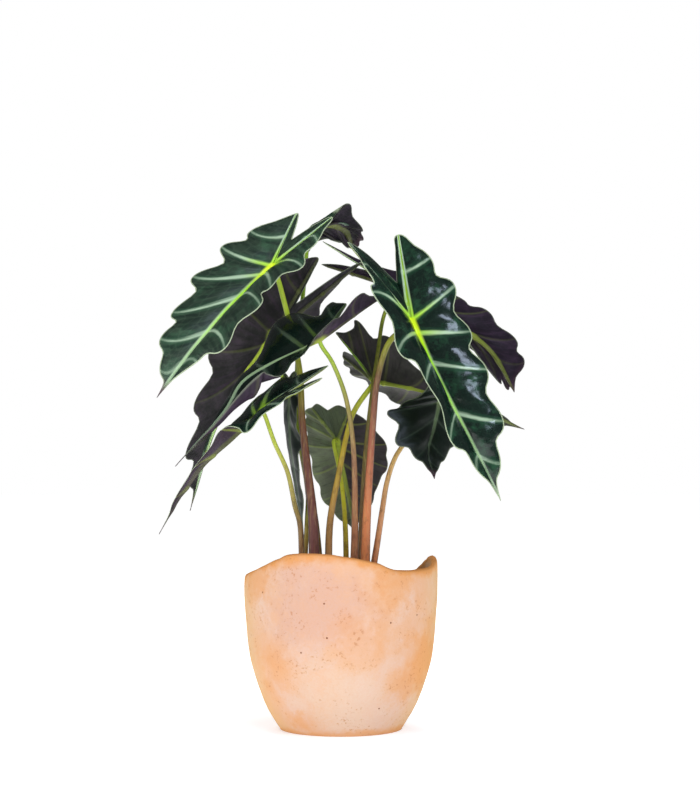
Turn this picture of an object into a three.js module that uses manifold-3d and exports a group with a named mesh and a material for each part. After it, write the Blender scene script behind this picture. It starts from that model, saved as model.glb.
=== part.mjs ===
// Potted alocasia: a handmade terracotta cup, its potting mix, and eleven leaves, each a blade on
// its own stalk. Millimetres, +Z up. The origin is the centre of the pot's flat base, -Y is the
// side that faces the viewer and +X is the viewer's right.

import * as THREE from 'three';
import Module from 'manifold-3d';

const wasm = await Module();
wasm.setup();

// ---------------------------------------------------------------- driving dimensions

const POT_SIDES = 40;
const POT_WALL = 5.5;
const POT_FLOOR = 8;
// Outside of the pot from the edge of its flat base upwards, as [radius, height].
const POT_OUTSIDE = [
  [42.5, 0], [45, 1.8], [50, 9], [54.4, 17], [59.2, 28.5], [63, 41], [66.3, 54], [68.4, 72], [70, 96],
];
// Height of the wavy rim round the pot, as [degrees from +X, height].
const RIM_HEIGHTS = [
  [0, 122.5], [8, 124], [20, 121], [30, 115.5], [45, 110.5], [90, 112], [135, 113], [180, 111.7],
  [200, 115], [215, 119.8], [230, 125.8], [246, 130.3], [258, 130.5], [270, 129], [293, 123.7],
  [314, 117.6], [335, 118.2], [350, 121.2],
];
// Heights of the rings on the inside of the wall, which the potting mix follows.
const INSIDE_LEVELS = [POT_FLOOR, 17, 41, 72, 96];

const GAP = 0.35; // clearance between touching pieces
const SOIL_TOP = 98;
const SOIL_LUMP = 0.7;
const STALK_DEPTH = 14; // how deep a stalk stands in the mix
const STALK_UPRIGHT = 4; // straight length above the mix
const STALK_SIDES = 8;
const STALK_STEPS = 13;
const STALK_FLARE = 1.8; // how fast a stalk widens towards its foot
const STALK_HOOK = 6; // length of the last bend, square to the blade
const STALK_END_GAP = 0.8; // from the blade's underside to the flat end of its stalk

// The lumps are two crossed ripples, given as ripples per millimetre outwards and turns round.
const LUMP_WAVES = [[0.33, 3], [0.21, -2]];
const SOIL_RINGS = [56, 40, 20]; // radii of the rings that carry the lumps

const BLADE_THICKNESS = 1;
const ROWS_PER_VEIN = 4; // rows of faces between two side veins
const STRIPS = 3; // strips of faces from a rib out to the edge
const QUILT_RISE = 0.05; // rise of the panel between two veins, as a share of its width
const EDGE_LIFT = 0.06; // lift of the edge between two veins
const QUILT_WIDTH = 25; // widest panel that still rises in proportion
// How round the edge is at a vein's end, in a notch and at the leaf's tip. 1 is a plain smooth line.
const SCALLOP_FULLNESS = 1.7;
const NOTCH_FULLNESS = 0.9;
const TIP_FULLNESS = 0.6;
const SINUS_SHARE = 0.55; // where the cleft's edge is steered, from the sinus to the lobe tip
const SINUS_BULGE = 0.35; // and how far it is pushed out there

// Where along a lobe rib the rows of its outer side start: tip, first side vein, junction.
const LOBE_STARTS = [1, 0.56, 0];
// Where along the midrib the other side veins start, and the tip.
const MIDRIB_STARTS = [0, 0.07, 0.25, 0.53, 0.76, 1];
// How far the edge is drawn in between two vein ends, as a share of the width there.
const NOTCH = [-0.05, 0.17, 0.18, 0.17, 0.17, 0.17, 0.36];
const LAST_ROW = NOTCH.length;
// How far the side veins bow towards the tip, in rows, and how round the lobe tips are.
const BOW = [0.06, 0.06];
const LOBE_FULLNESS = [1, 1];
const NO_SAG = Array(LAST_ROW + 1).fill(0);

// Every leaf is given by a few points, [right, away from the viewer, up]:
//   rib          the midrib, from the junction with the stalk to the tip
//   sinus        the bottom of the cleft between the two back lobes
//   right, left  where the lobe rib and the six side veins of that half end, from the lobe to the
//                tip, as seen on the upper face with the tip pointing down
//   notch        its own notches, where they differ from NOTCH
//   lobes, bow   its own LOBE_FULLNESS and BOW, right and left
//   arch         how far each half, right and left, arches over its width
//   sag          how much less than that a half arches, row by row
//   stalk        foot on the mix, radii at foot and junction, and the route between them
const LEAVES = [
  {
    name: 'upper_left',
    rib: [[-49, -12, 332], [-78, -26, 303], [-105, -36, 271], [-130, -36, 238]],
    sinus: [-35, -8, 352],
    right: [
      [-6, -16, 367], [-17, -28, 348], [-27, -38, 330], [-49, -50, 315], [-56, -56, 302],
      [-81, -54, 272], [-102, -44, 262],
    ],
    left: [
      [-32, 8, 372], [-65, 2, 359], [-86, -4, 347], [-106, -12, 325], [-120, -22, 299],
      [-128, -30, 280], [-128, -35, 258],
    ],
    notch: {
      right: [-0.05, 0.17, 0.18, 0.17, 0.17, 0.17, 0.5],
      left: [0.04, 0.22, 0.27, 0.19, 0.17, 0.1, 0.5],
    },
    lobes: [1.6, 0.8],
    bow: [-0.12, 0.17],
    arch: [0.1, 0.06],
    stalk: {
      foot: [-19, -9],
      radii: [4.3, 1.9],
      route: [
        [-20, -10, 150], [-24, -6, 186], [-28, -2, 222], [-30, 0, 258], [-37, 0, 291],
        [-44, -4, 319],
      ],
    },
  },
  {
    name: 'back_left',
    rib: [[-50, 32, 284], [-72, 30, 253], [-93, 28, 213], [-111, 30, 155]],
    sinus: [-33, 38, 308],
    right: [
      [-17, 45, 342], [-43, 52, 339], [-79, 55, 317], [-98, 52, 274], [-109, 46, 234],
      [-115, 40, 197], [-112, 34, 176],
    ],
    left: [
      [15, 50, 339], [-2, 56, 323], [-19, 60, 295], [-40, 62, 274], [-64, 56, 251],
      [-88, 44, 225], [-101, 36, 201],
    ],
    lobes: [1, 2.2],
    arch: [0.08, 0.08],
    stalk: {
      foot: [-20, 11],
      radii: [2.8, 2],
      route: [[-22, 18, 149], [-26, 24, 185], [-32, 30, 213], [-38, 36, 235], [-44, 38, 258]],
    },
  },
  {
    name: 'middle_left',
    rib: [[-15, -38, 278], [-65, -42, 253], [-83, -46, 227], [-116, -48, 190]],
    sinus: [-5, -34, 289],
    right: [
      [29, -28, 309], [12, -40, 310], [-7, -58, 291], [-25, -62, 269], [-41, -55, 254],
      [-57, -60, 254], [-88, -53, 220],
    ],
    left: [
      [4, -22, 305], [-9, -12, 305], [-32, -8, 299], [-48, -12, 291], [-59, -24, 266],
      [-77, -34, 242], [-95, -42, 213],
    ],
    notch: {
      right: [-0.05, 0.42, 0, 0, 0.1, 0, 0.3],
      left: [-0.05, 0.42, 0, 0.06, 0.05, 0.08, 0.3],
    },
    arch: [0.1, 0.1],
    sag: { right: [0, 0, 0.05, 0.1, 0.3, 0.42, 0.4, 0.2] },
    stalk: {
      foot: [9, -8],
      radii: [3.1, 1.5],
      route: [[10, -12, 151], [9, -18, 201], [4, -27, 236], [-5, -33, 261]],
    },
  },
  {
    name: 'lower_left',
    rib: [[-56, -30, 229], [-75, -36, 210], [-100, -42, 186], [-128, -40, 142]],
    sinus: [-37, -30, 242],
    right: [
      [-13, -44, 252], [-28, -50, 243], [-42, -54, 234], [-65, -56, 214], [-83, -52, 216],
      [-102, -50, 190], [-116, -46, 168],
    ],
    left: [
      [-9, -18, 261], [-29, -10, 255], [-42, -6, 253], [-62, -10, 237], [-81, -22, 216],
      [-101, -32, 188], [-115, -38, 168],
    ],
    arch: [0.1, 0.08],
    stalk: {
      foot: [-28, -4],
      radii: [2.4, 1.5],
      route: [[-29, -8, 143], [-33, -13, 161], [-38, -20, 185], [-47, -26, 206]],
    },
  },
  {
    name: 'right_front',
    rib: [[50, -30, 292], [68, -42, 252], [90, -50, 209], [112, -52, 166]],
    sinus: [40, -18, 320],
    right: [
      [41, -12, 355], [64, -20, 338], [81, -26, 318], [92, -34, 285], [103, -42, 258],
      [114, -50, 222], [112, -52, 192],
    ],
    left: [
      [5, -36, 348], [16, -44, 331], [22, -46, 312], [40, -64, 270], [59, -72, 249],
      [76, -68, 208], [95, -59, 187],
    ],
    lobes: [2.2, 1],
    bow: [0.03, -0.1],
    arch: [0.06, 0.1],
    stalk: {
      foot: [17, -9],
      radii: [3.8, 2.1],
      route: [[18, -11, 143], [20, -14, 179], [23, -19, 222], [26, -23, 251], [34, -26, 277]],
    },
  },
  {
    name: 'right_back',
    rib: [[38, 45, 320], [73, 46, 300], [108, 38, 275], [127, 25, 242]],
    sinus: [21, 55, 333],
    right: [
      [-15, 78, 339], [16, 76, 332], [48, 72, 312], [74, 66, 288], [99, 54, 273],
      [114, 40, 252], [122, 30, 244],
    ],
    left: [
      [-14, 74, 356], [20, 72, 340], [63, 66, 331], [89, 60, 313], [109, 52, 303],
      [129, 42, 282], [135, 32, 264],
    ],
    notch: {
      right: [0, 0.1, 0.1, 0.2, 0.62, 0.1, 0.3],
      left: [0, 0.1, 0.1, 0.06, 0.07, 0.08, 0.25],
    },
    arch: [0.1, 0.1],
    stalk: {
      foot: [14, 7],
      radii: [2.5, 1.4],
      route: [[15, 6, 149], [18, 4, 200], [23, 3, 245], [27, 12, 273], [31, 27, 297]],
    },
  },
  {
    name: 'top_back',
    rib: [[-31, 60, 356], [-15, 78, 368], [2, 98, 366], [9, 116, 353]],
    sinus: [-39, 56, 350],
    right: [
      [-43, 58, 339], [-34, 66, 340], [-25, 75, 348], [-15, 86, 358], [-3, 98, 357],
      [5, 106, 353], [8, 112, 353],
    ],
    left: [
      [-38, 50, 348], [-29, 62, 358], [-13, 76, 371], [5, 88, 386], [16, 100, 368],
      [17, 108, 360], [13, 113, 355],
    ],
    notch: {
      right: [0, 0.1, 0.1, 0.03, 0.03, 0.05, 0.2],
      left: [0, 0.1, 0.1, 0.03, 0.03, 0.05, 0.2],
    },
    arch: [0.1, 0.1],
    stalk: {
      foot: [-14, 13],
      radii: [2.4, 1.6],
      route: [
        [-19, 25, 150], [-27, 35, 186], [-33, 46, 222], [-33, 60, 259], [-31, 68, 292],
        [-28, 64, 324],
      ],
    },
  },
  {
    name: 'centre_right',
    rib: [[24, 14, 249], [58, 20, 243], [97, 24, 231], [134, 20, 215]],
    sinus: [9, 24, 269],
    right: [
      [1, 38, 269], [2, 44, 263], [8, 46, 255], [23, 48, 245], [41, 46, 234],
      [73, 40, 225], [109, 28, 217],
    ],
    left: [
      [-4, 30, 286], [5, 33, 287], [12, 34, 295], [35, 36, 283], [61, 36, 256],
      [93, 32, 242], [119, 25, 225],
    ],
    notch: {
      right: [0, 0.02, 0.16, 0.02, 0.06, 0.1, 0.3],
      left: [0, 0.02, 0.16, 0.02, 0.06, 0.1, 0.3],
    },
    arch: [0.08, 0.06],
    stalk: {
      foot: [-9, -4],
      radii: [2.9, 1.9],
      route: [[-8, -4, 147], [-1, -3, 186], [5, 2, 215], [11, 6, 231]],
    },
  },
  {
    name: 'centre_back',
    rib: [[-3, 36, 206], [1, 41, 185], [6, 46, 162], [10, 50, 139]],
    sinus: [-10, 42, 229],
    right: [
      [-22, 44, 231], [-27, 50, 228], [-27, 54, 219], [-26, 56, 203], [-21, 56, 181],
      [-14, 54, 162], [-2, 52, 148],
    ],
    left: [
      [6, 32, 229], [20, 30, 220], [33, 28, 204], [34, 28, 187], [27, 34, 173],
      [23, 40, 160], [15, 46, 148],
    ],
    notch: {
      right: [-0.12, 0, 0.02, 0.03, 0.04, 0.05, 0.18],
      left: [-0.12, 0, 0.02, 0.03, 0.04, 0.05, 0.18],
    },
    arch: [0.06, 0.06],
    stalk: {
      foot: [4, 6],
      radii: [2.2, 1.6],
      route: [[3, 11, 146], [0, 25, 178]],
    },
  },
  {
    name: 'small_right',
    rib: [[72, 8, 239], [67, 0, 218], [62, -8, 198], [67, -14, 180]],
    sinus: [77, 10, 248],
    right: [
      [81, 14, 253], [92, 18, 244], [96, 20, 234], [93, 16, 219], [83, 6, 205],
      [75, -4, 194], [70, -9, 187],
    ],
    left: [
      [66, 4, 251], [59, 0, 242], [45, -6, 235], [33, -12, 227], [39, -18, 206],
      [53, -18, 195], [62, -16, 187],
    ],
    notch: {
      right: [0, 0.05, 0.06, 0.14, 0.08, 0.08, 0.15],
      left: [0, 0.05, 0.06, 0.14, 0.08, 0.08, 0.15],
    },
    arch: [0.08, 0.08],
    stalk: {
      foot: [21, 0],
      radii: [2.6, 1.5],
      route: [[26, 1, 132], [30, 3, 158], [33, 4, 176], [38, 5, 192], [45, 6, 204]],
    },
  },
  {
    name: 'hanging',
    rib: [[-37, 14, 245], [-37, 12, 211], [-32, 9, 175], [-27, 6, 137]],
    sinus: [-38, 16, 253],
    right: [
      [-33, 6, 257], [-29, 3, 247], [-27, 2, 236], [-32, 3, 222], [-28, 3, 205],
      [-30, 3, 186], [-27, 4, 164],
    ],
    left: [
      [-42, 24, 256], [-43, 27, 247], [-42, 28, 238], [-42, 26, 223], [-40, 22, 207],
      [-37, 17, 189], [-33, 11, 167],
    ],
    arch: [0.05, 0.05],
    stalk: {
      foot: [-27, 6],
      radii: [2, 1.3],
      route: [[-25, 8, 142], [-24, 11, 178], [-27, 14, 215]],
    },
  },
];

const CLAY = new THREE.MeshStandardMaterial({ color: 0xf0c19c, roughness: 0.85, metalness: 0 });
const MIX = new THREE.MeshStandardMaterial({ color: 0x3a2a1e, roughness: 0.95, metalness: 0 });
const BLADE = new THREE.MeshStandardMaterial({ color: 0x1f3d2c, roughness: 0.35, metalness: 0 });
const STALK = new THREE.MeshStandardMaterial({ color: 0x8a6a3a, roughness: 0.5, metalness: 0 });

// ---------------------------------------------------------------- helpers

const vector = (point) => new THREE.Vector3(...point);
const blend = (a, b, share) => new THREE.Vector3().lerpVectors(a, b, share);
const curve = (points) => new THREE.CatmullRomCurve3(points, false, 'catmullrom', 0.5);

// A smooth line through points as a function of the place along it, which counts the points from
// 0. A point's fullness over 1 rounds the line there, and under 1 sharpens it.
function smoothLine(points, fullness) {
  const last = points.length - 1;
  const speeds = points.map((point, n) => {
    const before = n > 0 ? points[n - 1] : point.clone().multiplyScalar(2).sub(points[1]);
    const after = n < last ? points[n + 1] : point.clone().multiplyScalar(2).sub(points[n - 1]);
    return after.clone().sub(before).multiplyScalar(fullness[n] / 2);
  });
  return (place) => {
    const n = Math.min(Math.floor(place), last - 1);
    const f = place - n;
    const g = 1 - f;
    return new THREE.Vector3()
      .addScaledVector(points[n], (1 + 2 * f) * g * g)
      .addScaledVector(points[n + 1], (1 + 2 * g) * f * f)
      .addScaledVector(speeds[n], f * g * g)
      .addScaledVector(speeds[n + 1], -f * f * g);
  };
}

// The value between the entries of a list at a whole or broken index.
function between(list, index) {
  const i = Math.min(Math.floor(index), list.length - 2);
  return list[i] + (list[i + 1] - list[i]) * (index - i);
}

// An indexed surface: points that fall together are kept once, and faces with no area are dropped.
class Surface {
  constructor() {
    this.points = [];
    this.faces = [];
    this.known = new Map();
  }

  add(point) {
    const key = point.toArray().map((value) => Math.round(value * 1000)).join();
    if (!this.known.has(key)) {
      this.known.set(key, this.points.length);
      this.points.push(point);
    }
    return this.known.get(key);
  }

  face(a, b, c) {
    if (a !== b && b !== c && c !== a) this.faces.push([a, b, c]);
  }

  // Faces between neighbouring rows, each row a list of point numbers.
  weave(rows, closed, flipped) {
    for (let i = 0; i + 1 < rows.length; i += 1) {
      const count = rows[i].length;
      for (let j = 0; j < (closed ? count : count - 1); j += 1) {
        const k = (j + 1) % count;
        const corners = [rows[i][j], rows[i + 1][j], rows[i + 1][k], rows[i][k]];
        if (flipped) corners.reverse();
        this.face(corners[0], corners[1], corners[2]);
        this.face(corners[0], corners[2], corners[3]);
      }
    }
  }

  normals() {
    const sums = this.points.map(() => new THREE.Vector3());
    for (const [a, b, c] of this.faces) {
      const side = this.points[b].clone().sub(this.points[a]);
      const normal = side.cross(this.points[c].clone().sub(this.points[a]));
      for (const corner of [a, b, c]) sums[corner].add(normal);
    }
    return sums.map((sum) => sum.normalize());
  }

  // Edges that belong to one face only, in that face's direction.
  rim() {
    const edges = new Map();
    for (const face of this.faces) {
      face.forEach((from, n) => edges.set(`${from},${face[(n + 1) % 3]}`, [from, face[(n + 1) % 3]]));
    }
    return [...edges.values()].filter(([from, to]) => !edges.has(`${to},${from}`));
  }

  geometry() {
    const geometry = new THREE.BufferGeometry();
    const values = this.points.flatMap((point) => point.toArray());
    geometry.setAttribute('position', new THREE.Float32BufferAttribute(values, 3));
    geometry.setIndex(this.faces.flat());
    return geometry;
  }

  solid() {
    return new wasm.Manifold(new wasm.Mesh({
      numProp: 3,
      vertProperties: new Float32Array(this.points.flatMap((point) => point.toArray())),
      triVerts: new Uint32Array(this.faces.flat()),
    }));
  }
}

function geometryOf(solid) {
  const mesh = solid.getMesh();
  const geometry = new THREE.BufferGeometry();
  geometry.setAttribute('position', new THREE.BufferAttribute(mesh.vertProperties, 3));
  geometry.setIndex(new THREE.BufferAttribute(mesh.triVerts, 1));
  return geometry;
}

// ---------------------------------------------------------------- pot and potting mix

// A body turned round the Z axis from rings that run from pole to pole. Each ring is a function of
// the angle that gives [radius, height]; a pole has radius 0.
function turned(rings) {
  const surface = new Surface();
  const rows = rings.map((ring) => Array.from({ length: POT_SIDES }, (_, n) => {
    const angle = (n / POT_SIDES) * 2 * Math.PI;
    const [radius, height] = ring(angle);
    return surface.add(new THREE.Vector3(radius * Math.cos(angle), radius * Math.sin(angle), height));
  }));
  surface.weave(rows, true, true);
  return surface;
}

const ring = (radius, height) => () => [radius, height];

function outsideRadius(height) {
  const n = POT_OUTSIDE.findIndex(([, level]) => level > height);
  if (n < 0) return POT_OUTSIDE.at(-1)[0];
  const [[r0, z0], [r1, z1]] = [POT_OUTSIDE[n - 1], POT_OUTSIDE[n]];
  return r0 + ((r1 - r0) * (height - z0)) / (z1 - z0);
}

const insideRadius = (height) => outsideRadius(height) - POT_WALL;

// Height of the rim at an angle: a smooth curve through RIM_HEIGHTS that closes on itself.
function rimHeight(angle) {
  const count = RIM_HEIGHTS.length;
  const degrees = THREE.MathUtils.radToDeg(angle) % 360;
  const knot = (n) => {
    const [at, height] = RIM_HEIGHTS[(n + count) % count];
    return [at + 360 * Math.floor(n / count), height];
  };
  const slope = (n) => (knot(n + 1)[1] - knot(n - 1)[1]) / (knot(n + 1)[0] - knot(n - 1)[0]);
  let n = 0;
  while (knot(n + 1)[0] <= degrees) n += 1;
  const [[x0, y0], [x1, y1]] = [knot(n), knot(n + 1)];
  const span = x1 - x0;
  const t = (degrees - x0) / span;
  const rise = t * t * (3 - 2 * t);
  const start = t * (1 - t) * (1 - t) * span * slope(n);
  const end = t * t * (t - 1) * span * slope(n + 1);
  return y0 + (y1 - y0) * rise + start + end;
}

// The rounded lip, from the outside over the top, as [in from the outside, below the top].
const LIP = [[0, 6], [0.4, 2], [2.2, 0], [4.4, 0.6], [POT_WALL, 3]];

const lipRing = ([inset, drop]) => (angle) => [POT_OUTSIDE.at(-1)[0] - inset, rimHeight(angle) - drop];

function makePot() {
  const outside = POT_OUTSIDE.map(([radius, height]) => ring(radius, height));
  const inside = INSIDE_LEVELS.map((level) => ring(insideRadius(level), level)).reverse();
  const rings = [ring(0, 0), ...outside, ...LIP.map(lipRing), ...inside, ring(0, POT_FLOOR)];
  return turned(rings).geometry();
}

// The mix fills the pot and its top is a little lumpy. Each stalk stands in a plain hole in it.
function makeSoil() {
  const wave = ([outwards, round], radius, angle) => radius * outwards + round * angle;
  const lump = (radius, angle) => {
    const [first, second] = LUMP_WAVES.map((numbers) => wave(numbers, radius, angle));
    return SOIL_TOP + SOIL_LUMP * Math.sin(first) * Math.cos(second);
  };
  const side = INSIDE_LEVELS.map((level, n) => (
    ring(insideRadius(level) - GAP, n === 0 ? level + GAP : level)
  ));
  const top = SOIL_RINGS.map((radius) => (angle) => [radius, lump(radius, angle)]);
  const body = turned([ring(0, POT_FLOOR + GAP), ...side, ...top, ring(0, SOIL_TOP)]);
  let solid = body.solid();
  for (const { stalk } of LEAVES) {
    const radius = (stalk.radii[0] + GAP) / Math.cos(Math.PI / STALK_SIDES);
    const bottom = SOIL_TOP - STALK_DEPTH - GAP;
    solid = solid.subtract(post(stalk.foot, radius, bottom, SOIL_TOP + STALK_DEPTH).solid());
  }
  return geometryOf(solid);
}

// An upright prism with the stalk's number of sides.
function post([x, y], radius, bottom, top) {
  const surface = new Surface();
  const level = (height, size) => Array.from({ length: STALK_SIDES }, (_, n) => {
    const angle = (n / STALK_SIDES) * 2 * Math.PI;
    const out = [x + size * Math.cos(angle), y + size * Math.sin(angle), height];
    return surface.add(vector(out));
  });
  const rings = [level(bottom, 0), level(bottom, radius), level(top, radius), level(top, 0)];
  surface.weave(rings, true, true);
  return surface;
}

// ---------------------------------------------------------------- leaf blade

// The shape of one half of a leaf: where each row of the blade starts on a rib and ends on the edge.
// Rows are numbered by the vein that they follow: 0 is the lobe tip, 1 and 2 leave the lobe rib,
// 2 to 6 leave the midrib, and 7 is the tip of the leaf.
function makeHalf(leaf, number) {
  const side = ['right', 'left'][number];
  const junction = vector(leaf.rib[0]);
  const midrib = curve(leaf.rib.map(vector));
  const ends = [...leaf[side], leaf.rib.at(-1)].map(vector);
  const lobeTip = ends[0];
  const sinus = vector(leaf.sinus);
  const notch = leaf.notch?.[side] ?? NOTCH;
  const bow = (leaf.bow ?? BOW)[number];
  const start = (row) => (row < 2
    ? blend(junction, lobeTip, between(LOBE_STARTS, row))
    : midrib.getPoint(between(MIDRIB_STARTS, row - 2)));

  // The edge: from the sinus round the lobe, then out to each vein end and in at each notch.
  const steered = blend(sinus, lobeTip, SINUS_SHARE);
  const bulge = steered.clone().sub(blend(junction, lobeTip, SINUS_SHARE));
  const knots = [sinus, steered.addScaledVector(bulge, SINUS_BULGE)];
  const fullness = [1, 1];
  notch.forEach((depth, n) => {
    const middle = blend(ends[n], ends[n + 1], 0.5);
    knots.push(ends[n], blend(middle, start(n + 0.5), depth));
    fullness.push(n === 0 ? (leaf.lobes ?? LOBE_FULLNESS)[number] : SCALLOP_FULLNESS, NOTCH_FULLNESS);
  });
  const edge = smoothLine([...knots, ends.at(-1)], [...fullness, TIP_FULLNESS]);
  const outer = (row) => edge(2 + 2 * row);
  const inner = (row) => edge(2 - row);

  // A point of the flat blade on a row, at a share of the way from the rib to the edge.
  const outerPoint = (row, share) => {
    const fade = Math.min(1, row, LAST_ROW - row);
    const bowed = row + bow * 4 * share * (1 - share) * fade;
    return blend(start(bowed), outer(bowed), share);
  };
  const innerPoint = (row, share) => blend(start(row), inner(row), share);
  const outerWidth = (row) => start(row).distanceTo(outer(row));
  const innerWidth = (row) => start(row).distanceTo(inner(row));
  return { outerPoint, innerPoint, outerWidth, innerWidth };
}

// The middle surface of a blade, flat between rib and edge, and how far each point then rises
// along its normal for the arch of the half, the panels between the veins and the lifted edge.
function makeSheet(leaf) {
  const surface = new Surface();
  const rises = [];
  const rowCount = LAST_ROW * ROWS_PER_VEIN + 1;
  const rows = Array.from({ length: rowCount }, (_, n) => n / ROWS_PER_VEIN);
  for (const number of [0, 1]) {
    const half = makeHalf(leaf, number);
    const sag = leaf.sag?.[['right', 'left'][number]] ?? NO_SAG;
    const line = (row, pointAt, riseAt) => Array.from({ length: STRIPS + 1 }, (_, n) => {
      const share = n / STRIPS;
      const index = surface.add(pointAt(row, share));
      rises[index] ??= riseAt(row, share);
      return index;
    });
    const outerRise = (row, share) => {
      const width = half.outerWidth(row);
      const panel = Math.sin(Math.PI * (row % 1)) ** 2 * Math.min(width, QUILT_WIDTH);
      return (leaf.arch[number] - between(sag, row)) * width * 4 * share * (1 - share)
        + panel * (QUILT_RISE * Math.sin(Math.PI * share) + EDGE_LIFT * share * share);
    };
    const innerRise = (row, share) => (
      row < 2 ? QUILT_RISE * half.innerWidth(row) * 4 * share * (1 - share) : 0
    );
    const outside = rows.map((row) => line(row, half.outerPoint, outerRise));
    const lobe = rows.filter((row) => row <= 2);
    const inside = lobe.map((row) => line(row, half.innerPoint, innerRise));
    surface.weave(outside, false, number === 1);
    surface.weave(inside, false, number === 0);
  }
  const normals = surface.normals();
  surface.points.forEach((point, n) => point.addScaledVector(normals[n], rises[n]));
  return surface;
}

// The sheet given its thickness: the same faces on both sides, joined round the edge.
function makeBlade(sheet) {
  const normals = sheet.normals();
  const count = sheet.points.length;
  const blade = new Surface();
  for (const side of [0.5, -0.5]) {
    sheet.points.forEach((point, n) => {
      blade.points.push(point.clone().addScaledVector(normals[n], side * BLADE_THICKNESS));
    });
  }
  for (const [a, b, c] of sheet.faces) {
    blade.face(a, b, c);
    blade.face(c + count, b + count, a + count);
  }
  for (const [from, to] of sheet.rim()) {
    blade.face(to, from, from + count);
    blade.face(to, from + count, to + count);
  }
  return blade.geometry();
}

// ---------------------------------------------------------------- leaf stalk

// A stalk stands upright in the mix, follows its route, and ends square to the blade's underside.
function makeStalk(leaf, sheet) {
  const { foot, radii, route } = leaf.stalk;
  const junction = vector(leaf.rib[0]);
  const nearest = sheet.points.reduce((best, point, n) => (
    point.distanceTo(junction) < sheet.points[best].distanceTo(junction) ? n : best
  ), 0);
  const under = sheet.normals()[nearest].negate();
  const path = curve([
    vector([...foot, SOIL_TOP + STALK_UPRIGHT]),
    ...route.map(vector),
    junction.clone().addScaledVector(under, STALK_HOOK),
    junction.clone().addScaledVector(under, BLADE_THICKNESS / 2 + STALK_END_GAP),
  ]);
  const frames = path.computeFrenetFrames(STALK_STEPS, false);
  const surface = new Surface();
  const circle = (centre, normal, binormal, radius) => (
    Array.from({ length: STALK_SIDES }, (_, n) => {
      const angle = (n / STALK_SIDES) * 2 * Math.PI;
      const point = centre.clone().addScaledVector(normal, radius * Math.cos(angle));
      return surface.add(point.addScaledVector(binormal, radius * Math.sin(angle)));
    })
  );
  const rows = [];
  for (let step = 0; step <= STALK_STEPS; step += 1) {
    const along = step / STALK_STEPS;
    const radius = radii[1] + (radii[0] - radii[1]) * (1 - along) ** STALK_FLARE;
    rows.push(circle(path.getPointAt(along), frames.normals[step], frames.binormals[step], radius));
  }
  // The upright end in the mix, and the two end faces, each a fan round its centre.
  const bottom = SOIL_TOP - STALK_DEPTH;
  const sunk = rows[0].map((number) => surface.add(surface.points[number].clone().setZ(bottom)));
  const fan = (centre) => Array(STALK_SIDES).fill(surface.add(centre));
  rows.unshift(fan(vector([...foot, bottom])), sunk);
  rows.push(fan(path.getPointAt(1)));
  surface.weave(rows, true, true);
  return surface.geometry();
}

// ---------------------------------------------------------------- assembly

const plant = new THREE.Group();

function addPiece(name, geometry, material) {
  const mesh = new THREE.Mesh(geometry, material);
  mesh.name = name;
  plant.add(mesh);
}

addPiece('pot', makePot(), CLAY);
addPiece('soil', makeSoil(), MIX);
for (const leaf of LEAVES) {
  const sheet = makeSheet(leaf);
  addPiece(`blade_${leaf.name}`, makeBlade(sheet), BLADE);
  addPiece(`stalk_${leaf.name}`, makeStalk(leaf, sheet), STALK);
}

export default plant;
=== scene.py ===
"""Looks of a potted alocasia: quilted arrow-shaped leaves on mottled stalks, in a handmade
terracotta cup. Sizes in the tables are millimetres, in the part's frame: +Z up, -Y to the viewer."""

import math
from types import SimpleNamespace

import bpy
import numpy as np
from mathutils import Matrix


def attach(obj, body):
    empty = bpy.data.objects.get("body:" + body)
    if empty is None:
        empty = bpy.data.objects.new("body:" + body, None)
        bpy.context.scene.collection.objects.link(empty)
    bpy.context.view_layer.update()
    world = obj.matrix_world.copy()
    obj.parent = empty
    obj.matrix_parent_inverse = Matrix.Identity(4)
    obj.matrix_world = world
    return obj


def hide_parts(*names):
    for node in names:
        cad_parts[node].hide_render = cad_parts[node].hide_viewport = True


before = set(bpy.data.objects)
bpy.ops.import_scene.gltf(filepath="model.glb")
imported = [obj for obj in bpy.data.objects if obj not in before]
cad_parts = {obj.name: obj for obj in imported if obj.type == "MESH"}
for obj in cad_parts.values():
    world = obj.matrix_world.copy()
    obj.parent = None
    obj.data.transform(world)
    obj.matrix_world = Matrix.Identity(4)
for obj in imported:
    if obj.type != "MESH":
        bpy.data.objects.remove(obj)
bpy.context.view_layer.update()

bl_info = {
    "name": "Potted alocasia",
    "version": (1, 0, 0),
    "blender": (4, 5, 0),
    "location": "View3D > Sidebar > Alocasia",
    "description": "Builds the leaves, stalks, potting mix and clay cup of a potted alocasia",
    "category": "Object",
}

MM = 0.001
BODY = "root"

# ------------------------------------------------------------------ the plant's measures

# How a blade is ruled. Rows follow the side veins: 0 is the lobe tip, 1 and 2 leave the lobe rib,
# 2 to 6 leave the midrib, 7 is the leaf's tip. A row runs from its rib to the edge.
LOBE_STARTS = (1, 0.56, 0)
MIDRIB_STARTS = (0, 0.07, 0.25, 0.53, 0.76, 1)
FIRST_MIDRIB_ROW = 2
LAST_ROW = 7
NOTCH = (-0.05, 0.17, 0.18, 0.17, 0.17, 0.17, 0.36)
SINUS_SHARE = 0.55  # where the cleft's edge is steered, as a share from the sinus to the lobe tip
SINUS_BULGE = 0.35

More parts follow.
